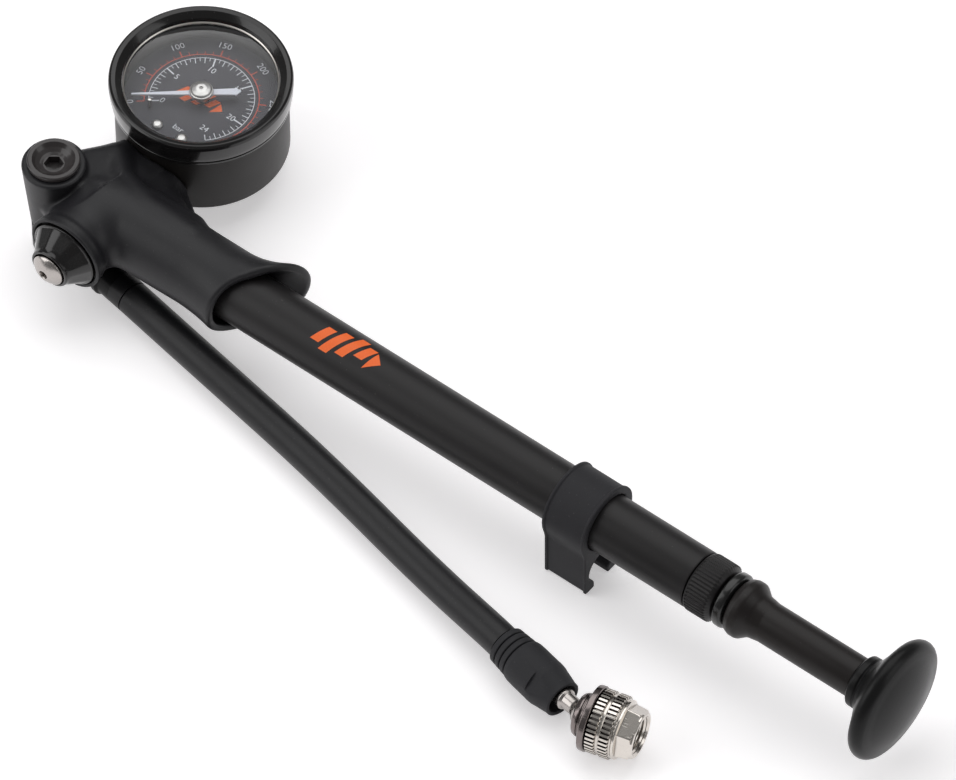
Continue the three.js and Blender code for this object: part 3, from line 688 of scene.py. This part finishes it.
def makeHandle():
    s, t, k = bumper, stem, knob
    turnedPiece("rod_polished", [
        (35, 0), (35, rod["radius"], 0.3), (k["start"] - 1, rod["radius"], 0.3), (k["start"] - 1, 0),
    ], alongBarrel, "steel", "handle", "steel", ["piston_rod"], sides=64)
    a, b, r = s["start"], s["end"], s["radius"]
    turnedPiece("bumper", [
        (a, 3.8), (a, 5.6, 0.4), (a + 0.5, r, 0.7), (b - 0.5, r, 0.9), (b, 5.7, 0.4), (b, 3.8), (a, 3.8),
    ], alongBarrel, "bumperBlack", "handle", "rubber", ["bumper_ring"])
    a, b, r = t["start"], t["end"], t["radius"]
    turnedPiece("grip_stem", [
        (a, 3.8), (a, 6.0, 0.3), (a + 0.5, 6.6, 0.4), (a + 1.6, 7.0, 0.8), (a + 3.2, t["collar"], 1.6),
        (a + 5.4, 5.3, 2.4), (a + 8.2, r, 2.5), (b, r, 0.2), (b, 3.8), (a, 3.8),
    ], alongBarrel, "stemPlastic", "handle", "satin_black", ["handle_stem"], sides=112)
    a, b, r, e = k["start"], k["end"], k["radius"], k["edge"]
    rim = a + 8.9
    back = [(a, 0), (a, 5.7, 0.3), (a + 0.45, 6.25, 0.5), (a + 1.9, 6.3, 0.5), (a + 2.3, 6.0, 0.3),
            (a + 3.6, 7.4, 2.0), (a + 5.4, 10.6, 3.0)]
    turns = [radians(v) for v in range(140, 0, -20)]
    edge = [(rim + e * cos(v), r - e + e * sin(v)) for v in turns]
    dome = [(b - (b - rim - e * 0.95) * v ** 2.2, (r - e) * v)
            for v in (0.94, 0.85, 0.7, 0.55, 0.4, 0.25, 0.1)]
    turnedPiece("grip_knob", back + edge + dome + [(b, 0)], alongBarrel, "knobPlastic", "handle",
                "satin_black", ["handle_knob"], sides=144)


makeBarrel(barrel)
makeCap(cap)
makeHandle()
print("barrel and handle made")


clip = {**spanOf("hose_clip"), "band": 8.8, "jaw": (-2.3, -13.3), "jawRadius": 4.15,
        "wall": 1.3, "rimWidth": 0.75, "rimProud": 0.32, "step": 0.2}


def clipField(p):
    s = clip
    x, y, h = p.T
    floor = -barrelMiddle.z / mm
    out = s["jawRadius"] + s["wall"]
    jy, jh = s["jaw"]
    dy = np.abs(y - jy) - out + 0.7
    dh = np.abs(h - floor / 2) + floor / 2 + 0.7
    leg = np.hypot(np.maximum(dy, 0), np.maximum(dh, 0)) + np.minimum(np.maximum(dy, dh), 0) - 0.7
    outer = blend(np.hypot(y, h) - s["band"], leg, 1.2)
    middleX, half = (s["start"] + s["end"]) / 2, (s["end"] - s["start"]) / 2
    body = carve(outer, half - np.abs(x - middleX), 0.3)
    toRim = np.abs(np.abs(x - middleX) - half + s["rimWidth"] / 2) - s["rimWidth"] / 2
    solid = blend(body, carve(outer - s["rimProud"], -toRim, 0.25), 0.1)
    solid = np.maximum(solid, floor - h)
    jaw = np.hypot(y - jy, h - jh) - s["jawRadius"]
    mouth = np.maximum(np.abs(y - jy) - 2.35, h - jh)
    for tool in (blend(jaw, mouth, 0.6), np.hypot(y, h) - barrel["radius"] - 0.12):
        solid = carve(solid, tool, 0.5)
    return solid


def makeClip(s):
    points, faces = surfaceNet(clipField, (s["start"] - 0.6, -9.8, -barrelMiddle.z / mm - 0.4),
                               (s["end"] + 0.6, 9.8, 9.8), s["step"])
    addMesh("clip_band", points, faces, alongBarrel, "clipRubber", "clip", "rubber", ["hose_clip"],
            sharp=45)


makeClip(clip)
print("clip made")


valve = {"ring": 8.5, "coneStart": 16.1, "coneLength": 4.2, "foot": 8.1, "taper": 2.9, "end": 21.1,
         "flats": 8, "flatCut": 0.965}
button = {"start": 20.6, "end": 23.3, "radius": 4.1, "domeHeight": 1.7, "recess": 1.45}


def flatsOf(count, turn=0.0):
    # how much further a corner of a regular outline lies out than its flats, at each angle
    def out(angle):
        step = 2 * np.pi / count
        return 1 / np.cos((angle - turn) % step - step / 2)
    return out


def makeValve(s, b):
    octagon = flatsOf(s["flats"], radians(12))

    def pressed(along, angle, radius):
        if along < 16.0 or radius < 5.2:
            return radius
        return np.minimum(radius, radius * s["flatCut"] * octagon(angle))

    cone = [(s["coneStart"] + s["coneLength"] * t, s["foot"] - s["taper"] * t)
            for t in (0, 0.15, 0.3, 0.45, 0.6, 0.75, 0.9, 1)]
    r, end = s["ring"], s["end"]
    turnedPiece("valve_cone", [
        (5.6, 0), (5.6, 4.0), (14.8, 4.0), (14.8, r - 0.2, 0.1), (15.1, r, 0.2), (15.8, r, 0.2),
        (16.0, 8.15, 0.1), *cone, (end - 0.3, 5.1, 0.1), (end, 4.9, 0.15), (end, 4.4, 0.1),
        (19.0, 4.4), (18.7, 0),
    ], outOfValve, "bezelBlack", "pump_body", "gloss_black", ["bleed_valve_housing"], sides=120,
        shape=pressed, sharp=28)
    start, end, full = b["start"], b["end"], b["radius"]
    dome = [(end - b["domeHeight"] * (r / full) ** 2.1, r) for r in (3.95, 3.6, 3.1, 2.6, 2.1, 1.6, 1.3)]
    socket = flatsOf(6)

    def drilled(along, angle, radius):
        return radius * socket(angle) if radius < 1.1 else radius

    # the spring stands in a recess under the button
    turnedPiece("valve_button", [
        (start, 0), (start, 1.7), (start + b["recess"], 1.7), (start + b["recess"], 3.0), (start, 3.0),
        (start, full, 0.2), (end - 1.8, full, 0.2), *dome, (end - 0.14, 1.15, 0.05), (end - 0.35, 1.0),
        (end - 1.4, 0.95), (end - 1.7, 0),
    ], outOfValve, "warmNickel", "button", "chrome", ["bleed_button"], sides=96, shape=drilled)


bolt = {"shank": 2.7, "head": 6.1, "socket": 2.0}


def makeBolt(s):
    low, high = box("pivot_bolt")
    top, r = high.z, s["head"]
    hexagon = flatsOf(6, radians(8))

    def socket(along, angle, radius):
        if radius > 2.45 or along < top - 4.5:
            return radius
        return np.minimum(s["socket"] * hexagon(angle), 2.3)

    turnedPiece("bolt_head", [
        (low.z, 0), (low.z, s["shank"], 0.3), (top - 5.6, s["shank"]), (top - 5.6, 4.6), (top - 1.45, 4.6),
        (top - 1.45, 5.8, 0.15), (top - 1.1, r, 0.3), (top - 0.2, r, 0.3), (top, 5.8, 0.2),
        (top, 4.95, 0.1), (top - 0.25, 4.75, 0.1), (top - 0.9, 4.2, 0.4), (top - 1.5, 3.2, 0.6),
        (top - 1.8, 2.45, 0.1), (top - 1.95, 2.35), (top - 3.9, 2.2), (top - 4.2, 0),
    ], upBolt, "boltBlack", "pump_body", "gloss_black", ["pivot_bolt"], sides=96, shape=socket, sharp=28)


makeValve(valve, button)
makeBolt(bolt)
print("valve and bolt made")


gauge = {"bottom": 7.0, "case": 20.0, "bezel": 21.2, "glass": 17.9, "dial": 22.8, "top": 31.1,
         "stop": 12.0, "stopAngle": -131}
psi = {"last": 350, "ring": 13.14}
bar = {"last": 24, "ring": 12.1, "psiPerBar": 14.504}
# the angle of each 50 psi: the first division of the scale is shorter than the others
scaleAngles = [220.5, 187.0, 148.8, 109.9, 70.2, 30.5, -9.2, -48.9]
needle = {"rest": 219.5, "level": 25.1, "length": 16.0, "hub": 1.7, "tail": 9.1, "thick": 0.4}


def dialAngle(pressure):
    return float(np.interp(pressure, np.arange(8) * 50, scaleAngles))


def makeGaugeShell(s):
    g, c, b = s["bottom"], s["case"], s["bezel"]
    turnedPiece("gauge_shell", [
        (g + 1.2, 0), (g + 1.2, 18.2), (g + 2, 19.0), (23.2, 19.0), (23.6, 18.3), (26.3, 18.3),
        (26.3, 19.4), (24.0, 19.4), (24.0, c, 0.3), (g + 1.1, c, 1.0), (g, 19.0, 0.7), (g, 15.5),
        (g + 0.35, 15.2), (g + 0.35, 0),
    ], upGauge, "caseBlack", "pump_body", "gauge_paint", ["gauge_case"], sides=160)
    turnedPiece("gauge_rim", [
        (24.3, 19.7), (24.3, 20.45, 0.2), (24.6, 20.7, 0.15), (25.2, 20.75, 0.1), (25.35, 20.45, 0.06),
        (25.6, 20.45, 0.06), (25.75, 20.85, 0.1), (27.0, 21.05), (29.9, b, 0.6), (30.8, 21.0, 0.5),
        (s["top"], 20.4, 0.4), (30.9, 19.5, 0.5), (29.8, 18.1, 0.3), (29.1, s["glass"], 0.15),
        (28.95, s["glass"], 0.1), (28.95, 19.7), (24.3, 19.7),
    ], upGauge, "bezelBlack", "pump_body", "gloss_black", ["gauge_bezel"], sides=192)
    turnedPiece("gauge_glass", [
        (27.6, 0), (27.6, 18.9), (28.3, 18.9), (28.55, 17.6), (28.75, 12), (28.88, 6), (28.92, 0),
    ], upGauge, "lens", "pump_body", "lens_glass", ["gauge_lens"], sides=160)
    turnedPiece("glass_seal", [
        (26.6, 17.95), (26.6, 19.2, 0.1), (27.3, 19.2, 0.1), (27.3, 17.95, 0.2), (26.6, 17.95),
    ], upGauge, "sealRubber", "pump_body", "rubber", ["lens_gasket"], sides=128)
    turnedPiece("glass_edge_ring", [
        (28.60, 17.58), (28.74, 17.66), (28.86, 17.84), (28.78, 17.86), (28.66, 17.7), (28.60, 17.58),
    ], upGauge, "satinNickel", "pump_body", "chrome", sides=160)
    d = s["dial"]
    turnedPiece("dial_face", [
        (d - 0.6, 1.6), (d - 0.6, 17.9, 0.1), (d, 17.9, 0.1), (d, 1.6, 0.1), (d - 0.6, 1.6),
    ], upGauge, "dialCard", "pump_body", "dial_card", ["dial_plate"], sides=128)


flatGauge = Matrix.Translation((gaugeMiddle.x, gaugeMiddle.y, 0))


def onDial(radius, degrees):
    return np.array((radius * cos(radians(degrees)), radius * sin(radians(degrees))))


def ringPrint(radius, width, start, end, level, steps=180):
    turns = np.radians(np.linspace(start, end, steps + 1))
    points = [(r * cos(a), r * sin(a), level)
              for a in turns for r in (radius - width, radius + width)]
    return points, [(2 * i, 2 * i + 1, 2 * i + 3, 2 * i + 2) for i in range(steps)]


def tickPrint(degrees, inner, outer, width, level):
    along = onDial(1, degrees)
    across = np.array((-along[1], along[0])) * width / 2
    ends = ((inner, -1), (outer, -1), (outer, 1), (inner, 1))
    return [(*(along * reach + across * side), level) for reach, side in ends], [(0, 1, 2, 3)]


def textPrint(words, size, place, turn, level):
    curve = bpy.data.curves.new("words", "FONT")
    curve.body = words
    curve.size = size
    curve.align_x = "CENTER"
    curve.align_y = "CENTER"
    curve.resolution_u = 3
    writing = bpy.data.objects.new("words", curve)
    scene.collection.objects.link(writing)
    bpy.context.view_layer.update()
    mesh = bpy.data.meshes.new_from_object(writing.evaluated_get(bpy.context.evaluated_depsgraph_get()))
    c, s = cos(radians(turn)), sin(radians(turn))
    points = [(place[0] + c * v.co.x - s * v.co.y, place[1] + s * v.co.x + c * v.co.y, level)
              for v in mesh.vertices]
    faces = [tuple(p.vertices) for p in mesh.polygons]
    bpy.data.objects.remove(writing)
    bpy.data.curves.remove(curve)
    bpy.data.meshes.remove(mesh)
    return points, faces


def markPrint(size):
    # a plain mark of slanted bars and a small triangle, lying flat and centred
    shapes = []
    for i, (low, high) in enumerate(((-0.30, 0.18), (-0.42, 0.30), (-0.30, 0.42), (-0.12, 0.30))):
        x = -0.75 + i * 0.36
        shapes.append([(x + 0.45 * low, low), (x + 0.24 + 0.45 * low, low), (x + 0.24 + 0.45 * high, high),
                       (x + 0.45 * high, high)])
    shapes.append([(0.62, -0.28), (0.98, 0.02), (0.74, 0.26)])
    return [[(a * size, b * size) for a, b in shape] for shape in shapes]


def makeDial(p, b, s):
    level = s["dial"] + 0.03
    start, end = dialAngle(0), dialAngle(p["last"])
    orange = [ringPrint(p["ring"], 0.11, start, end, level)]
    for value in range(0, p["last"] + 1, 10):
        reach, width = (1.75, 0.26) if value % 50 == 0 else (0.95, 0.13)
        orange.append(tickPrint(dialAngle(value), p["ring"], p["ring"] + reach, width, level))
    addMesh("dial_orange_scale", *merged(orange), flatGauge, "dialOrange", "pump_body", "dial_card")
    white = [ringPrint(b["ring"], 0.09, start, dialAngle(b["last"] * b["psiPerBar"]), level)]
    for half in range(2 * b["last"] + 1):
        reach, width = (2.4, 0.36) if half % 10 == 0 else (1.6, 0.2) if half % 2 == 0 else (1.0, 0.15)
        turn = dialAngle(half / 2 * b["psiPerBar"])
        white.append(tickPrint(turn, b["ring"] - reach, b["ring"], width, level))
    for value in range(0, p["last"] + 1, 50):
        turn = dialAngle(value)
        white.append(textPrint(str(value), 2.3, onDial(16.3, turn), turn - 90, level))
    for value in (0, 5, 10, 15, 20, 24):
        turn = dialAngle(value * b["psiPerBar"])
        white.append(textPrint(str(value), 2.15, onDial(8.7 if value else 9.0, turn), 0, level))
    white.append(textPrint("bar", 2.1, (1.2, -10.0), 0, level))
    white.append(textPrint("psi", 1.8, (0.2, -15.6), 0, level))
    addMesh("dial_white_scale", *merged(white), flatGauge, "dialWhite", "pump_body", "dial_card")
    marks = [([(x - 0.4, y - 0.2, level) for x, y in shape], [tuple(range(len(shape)))])
             for shape in markPrint(6.6)]
    addMesh("dial_mark", *merged(marks), flatGauge, "orangeInk", "pump_body", "dial_card")


def makePointer(s):
    place = flatGauge @ Matrix.Translation((0, 0, s["level"] * mm)) @ Matrix.Rotation(
        radians(s["rest"]), 4, "Z")
    half = [(s["length"], 0.24), (2.9, 0.62), (2.6, 0.9), (1.9, s["hub"]), (-1.9, s["hub"]), (-2.6, 0.9),
            (-2.9, 0.8), (-7.6, 0.95), (-7.8, 1.25), (-s["tail"], 0.0)]
    outline = half + [(x, -y) for x, y in half[-2::-1]]
    n = len(outline)
    points = [(x, y, z) for z in (-s["thick"] / 2, s["thick"] / 2) for x, y in outline]
    faces = [tuple(range(n))[::-1], tuple(range(n, 2 * n))]
    faces += [(i, (i + 1) % n, (i + 1) % n + n, i + n) for i in range(n)]
    piece = addMesh("gauge_needle", points, faces, place, "whiteInk", "pointer", "pointer_white",
                    ["pointer_needle"], sharp=30)
    bevel = piece.modifiers.new("edges", "BEVEL")
    bevel.width = 0.06 * mm
    bevel.segments = 2
    turnedPiece("needle_hub", [
        (23.4, 0), (23.4, 1.7, 0.1), (24.85, 1.7), (24.85, 0.6), (25.6, 0.6), (25.6, 2.75, 0.15),
        (26.0, 2.75, 0.2), (26.1, 2.45, 0.1), (26.5, 2.2, 0.4), (26.85, 1.2, 0.4), (26.9, 0.45, 0.05),
        (26.6, 0.4), (26.4, 0),
    ], upGauge, "satinNickel", "pointer", "chrome", ["pointer_hub"], sides=72)


def makeDialTrim(s):
    d = s["dial"]
    for number in (1, 2):
        turnedPiece(f"screw_head_{number}", [
            (d - 1.6, 0), (d - 1.6, 0.5), (d + 0.1, 0.5), (d + 0.1, 1.35, 0.1), (d + 0.5, 1.3, 0.3),
            (d + 0.85, 0.8, 0.5), (d + 0.95, 0),
        ], upright(middle(f"dial_screw_{number}")), "satinNickel", "pump_body", "steel",
            [f"dial_screw_{number}"], sides=48)
    spot = gaugeMiddle + Vector((*onDial(s["stop"], s["stopAngle"]), 0)) * mm
    turnedPiece("stop_pin", [
        (d, 0), (d, 0.5), (d + 2.8, 0.5, 0.2), (d + 2.9, 0),
    ], upright(spot), "nickel", "pump_body", "steel", ["pointer_stop_pin"], sides=32)


makeGaugeShell(gauge)
makeDial(psi, bar, gauge)
makePointer(needle)
makeDialTrim(gauge)
print("gauge made")


# the printed mark on the barrel
mark = {"along": 83.5, "turn": 97.0, "size": 9.6, "lift": 0.03}


def makeMark(s):
    radius = barrel["radius"] + s["lift"]
    steps = 14
    row = steps + 1
    parts = []
    for shape in markPrint(s["size"]):
        # the triangle's last corner counts twice
        a, b, c, d = (np.array(corner) for corner in [*shape, shape[-1]][:4])
        points = []
        for u, v in ((i / steps, j / steps) for i in range(row) for j in range(row)):
            x, y = (1 - u) * (1 - v) * a + u * (1 - v) * b + u * v * c + (1 - u) * v * d
            turn = radians(s["turn"]) - y / radius
            points.append((s["along"] + x, radius * cos(turn), radius * sin(turn)))
        faces = [(n, n + 1, n + row + 1, n + row) for n in range(steps * row) if n % row < steps]
        parts.append((points, faces))
    addMesh("barrel_mark", *merged(parts), alongBarrel, "orangeInk", "pump_body", "anodised_tube")


makeMark(mark)


# the fittings at both ends of the hose
firstPoint = Vector(hose["route"][0]).xy - Vector((0, (boltMiddle.y - origin.y) / mm))
swivelTurn = atan2(firstPoint.y, firstPoint.x)
alongSwivel = (Matrix.Translation((boltMiddle.x, boltMiddle.y, hose["route"][0][2] * mm))
               @ Matrix.Rotation(swivelTurn, 4, "Z"))
swivel = {"eye": 5.8, "height": 8.9, "neck": 4.25, "collarStart": 22.4, "collarEnd": 26.2}


def makeSwivel(s):
    high, a, b = s["height"], s["collarStart"], s["collarEnd"]
    turnedPiece("swivel_eye", [
        (0, 4.7), (0, 5.5, 0.2), (0.4, s["eye"], 0.3), (high - 0.4, s["eye"], 0.3), (high, 5.4, 0.2),
        (high, 3.1, 0.2), (2.8, 3.1), (2.8, 4.7), (0, 4.7),
    ], upBolt, "knobPlastic", "hose", "satin_black", ["hose_swivel"])
    turnedPiece("swivel_neck", [
        (4.9, 0), (4.9, s["neck"]), (16.9, s["neck"], 0.2), (17.2, 4.75, 0.3), (18.6, 4.75, 0.3),
        (18.9, 4.15, 0.1), (a, 4.12), (a, 0),
    ], alongSwivel, "knobPlastic", "hose", "satin_black", sides=72)
    turnedPiece("hose_root_ring", [
        (a, 2.3), (a, 4.1), (b, 4.06), (b, 2.3), (a, 2.3),
    ], alongSwivel, "hoseRubber", "hose", "gloss_black", ["hose_collar"], sides=88)


boot = {"length": 19.8, "radius": 5.55, "flat": 4.9, "flatFrom": 12.97, "flatAngle": 139.0}


def makeBoot(s):
    def scalloped(along, angle, radius):
        if along < s["flatFrom"] or radius < 4.0:
            return radius
        cut = s["flat"] - (along - s["flatFrom"]) * 0.02
        turned = np.cos(2 * (angle - radians(s["flatAngle"])))
        near = np.sqrt(np.maximum((1 + turned) / 2, 1e-6))
        return np.minimum(radius, cut / near)

    rings = []
    for i in range(3):
        a, r = 0.2 + 1.75 * i, 4.78 + 0.14 * i
        rings += [(a, r, 0.25), (a + 1.3, r + 0.08, 0.2), (a + 1.4, r - 0.42, 0.1),
                  (a + 1.68, r - 0.42, 0.1)]
    body = [(5.5, 5.3, 0.3), (6.6, 5.5, 0.8), (8.4, s["radius"], 1.5), (12.95, s["radius"]), (13.0, 5.58),
            (13.6, 5.57), (14.6, 5.5, 1.0)]
    taper = [(14.6 + 4.4 * t, 5.45 - 0.85 * t) for t in (0.2, 0.4, 0.6, 0.8, 1)]
    end = s["length"]
    turnedPiece("boot_sleeve", [
        (0, 0), (0, 4.3, 0.2), *rings, *body, *taper, (end - 0.1, 4.6, 0.4), (end, 4.15, 0.3),
        (end - 0.3, 3.75, 0.2), (11, 3.4), (11, 0),
    ], alongBoot, "bootRubber", "hose", "rubber", ["hose_boot"], sides=112, shape=scalloped, sharp=30)


def makeFerrule():
    ball = alongBoot.inverted() @ ballPlace
    start = Vector((11.4 * mm, 0, 0))
    run = ball - start
    turn = run.to_track_quat("X", "Z").to_matrix().to_4x4()
    length = run.length / mm
    ballFrom = length - 2.5
    turns = [radians(v) for v in range(140, 0, -14)]
    sphere = [(length + 3.3 * cos(v), 3.3 * sin(v)) for v in turns]
    turnedPiece("swivel_ball_neck", [
        (0.2, 0), (0.2, 2.1), (8.0, 2.1, 0.3), (8.5, 2.5, 0.2), (9.6, 2.5, 0.2), (10.0, 2.05, 0.3),
        (ballFrom - 0.7, 2.0, 0.3), *sphere, (length + 3.3, 0),
    ], alongBoot @ Matrix.Translation(start) @ turn, "warmNickel", "hose", "dark_nickel",
        ["hose_end_ferrule"], sides=72)


makeSwivel(swivel)
makeBoot(boot)
makeFerrule()
print("hose fittings made")


chuck = {"ribs": 42, "band": 7.5, "slot": 0.55, "noseFlats": 6, "opening": 4.1}


def makeChuck(s):
    turnedPiece("chuck_dome", [
        (-1.5, 3.9), (-1.5, 4.3, 0.1), (-1.2, 4.75, 0.3), (-0.5, 5.1, 0.3), (-0.1, 5.15, 0.1),
        (0.0, 4.85, 0.05), (0.3, 4.85, 0.05), (0.4, 5.15, 0.1), (0.85, 5.2, 0.1), (0.85, 3.9), (-1.5, 3.9),
    ], alongChuck, "darkNickel", "chuck", "dark_nickel", ["chuck_collar"], sides=96)
    inner = [(3.8 * sin(radians(v)), 3.8 * cos(radians(v))) for v in range(18, 72, 9)]
    turnedPiece("chuck_flange", [
        (1.0, 3.65), (1.0, 6.2, 0.15), (1.15, 7.1, 0.3), (1.4, 7.7, 0.25), (2.65, 7.75, 0.2),
        (2.85, 7.45, 0.1), (2.85, 5.0), (8.8, 5.0, 0.2), (8.8, 4.2), (5.4, 4.2), (5.4, 1.2),
        *inner[::-1], (1.0, 3.65),
    ], alongChuck, "darkNickel", "chuck", "dark_nickel", ["chuck_body"], sides=128)
    hexagon = flatsOf(s["noseFlats"], radians(20))
    r, deep = s["band"], s["slot"]

    def worked(along, angle, radius):
        inBand = 3.25 < along < 5.4 or 6.45 < along < 8.5
        if inBand and radius > 7.1:
            wave = np.cos(angle * s["ribs"])
            return radius - deep * np.clip(0.5 - 3.5 * (wave + 0.2), 0, 1)
        if 9.9 < along and radius > 5.0:
            flat = 5.6 - (along - 9.9) * 0.1
            return np.minimum(radius, flat * hexagon(angle))
        return radius

    bands = []
    for a in (3.0, 6.15):
        bands += [(a, 6.9, 0.1), (a + 0.25, r, 0.08), (a + 0.35, r), (a + 2.2, r), (a + 2.3, r, 0.08),
                  (a + 2.55, 6.9, 0.1)]
    thread = []
    for i in range(6):
        a = 13.0 - 0.78 * i
        thread += [(a, s["opening"] + 0.28), (a - 0.39, s["opening"] - 0.1)]
    turnedPiece("chuck_sleeve", [
        (3.0, 5.4), *bands, (9.0, 6.75, 0.1), (9.3, 7.0, 0.15), (9.75, 7.0, 0.15), (9.95, 6.5), (12.7, 6.1),
        (13.0, 6.0), (13.1, 5.55, 0.1), (13.55, 5.5, 0.15), (13.7, 5.25, 0.1), (13.7, 4.75, 0.1),
        (13.2, s["opening"] + 0.25), *thread, (8.9, s["opening"]), (8.9, 5.4), (3.0, 5.4),
    ], alongChuck, "nickel", "chuck_nut", "chrome", ["chuck_nut"], sides=s["ribs"] * 12,
        shape=worked, sharp=25)


makeChuck(chuck)
print("chuck made")


# inner pieces keep their CAD shape and get their own finishes
innerFinish = {
    "brass": ["check_valve_seat", "rod_guide_bush", "piston_head", "bleed_pin", "bourdon_tube",
              "movement_plate", "sector_gear", "chuck_pin"],
    "caseBlack": ["gauge_stem"],
    "steel": ["check_ball", "check_spring", "bleed_spring", "pivot_nut", "pointer_spindle"],
    "sealRubber": ["rod_wiper", "piston_seal", "bleed_valve_seal", "swivel_seal", "chuck_gasket"],
}
for finish, nodes in innerFinish.items():
    for node in nodes:
        slots = frame["nodes"][node].data.materials
        slots.clear()
        slots.append(finishes[finish])


def makeFloor():
    # the floor glows a little, as a lit acrylic sheet does, so that shadows stay faint
    paint = Paint("pale floor", {"Roughness": 0.85, "Specular IOR Level": 0.1, "Emission Strength": 0.4,
                                 "Emission Color": (1.0, 0.985, 0.99, 1)})
    cloud = paint.noise(60.0, 2.0)
    paint.feed("Base Color", paint.mix(cloud, (0.88, 0.87, 0.88), (0.9, 0.89, 0.9)))
    mesh = bpy.data.meshes.new("floor")
    half = 6.0
    mesh.from_pydata([(-half, -half, 0), (half, -half, 0), (half, half, 0), (-half, half, 0)], [],
                     [(0, 1, 2, 3)])
    mesh.materials.append(paint.material)
    floor = bpy.data.objects.new("floor", mesh)
    floor.location.z = -0.0002
    scene.collection.objects.link(floor)


lamps = {
    # name: direction from the pump, distance in metres, width, height, radiance
    "overhead": ((-0.25, 0.35, 1.0), 1.6, 1.8, 1.6, 1.65),
    "left softbox": ((-0.85, -0.75, 0.75), 1.4, 0.9, 1.2, 2.0),
    "right softbox": ((1.0, 0.35, 0.6), 1.4, 0.8, 1.1, 1.3),
}


def makeLights():
    for name, (direction, distance, width, height, radiance) in lamps.items():
        lamp = bpy.data.lights.new(name, "AREA")
        lamp.shape = "RECTANGLE"
        lamp.size = width
        lamp.size_y = height
        lamp.energy = radiance * pi * width * height
        holder = bpy.data.objects.new(name, lamp)
        away = Vector(direction).normalized()
        holder.location = away * distance
        holder.rotation_mode = "QUATERNION"
        holder.rotation_quaternion = (-away).to_track_quat("-Z", "Y")
        scene.collection.objects.link(holder)
    world = bpy.data.worlds.new("studio")
    world.use_nodes = True
    background = world.node_tree.nodes["Background"].inputs
    background["Color"].default_value = (1, 1, 1, 1)
    background["Strength"].default_value = 0.22
    scene.world = world


makeFloor()
makeLights()
print("floor and light made")
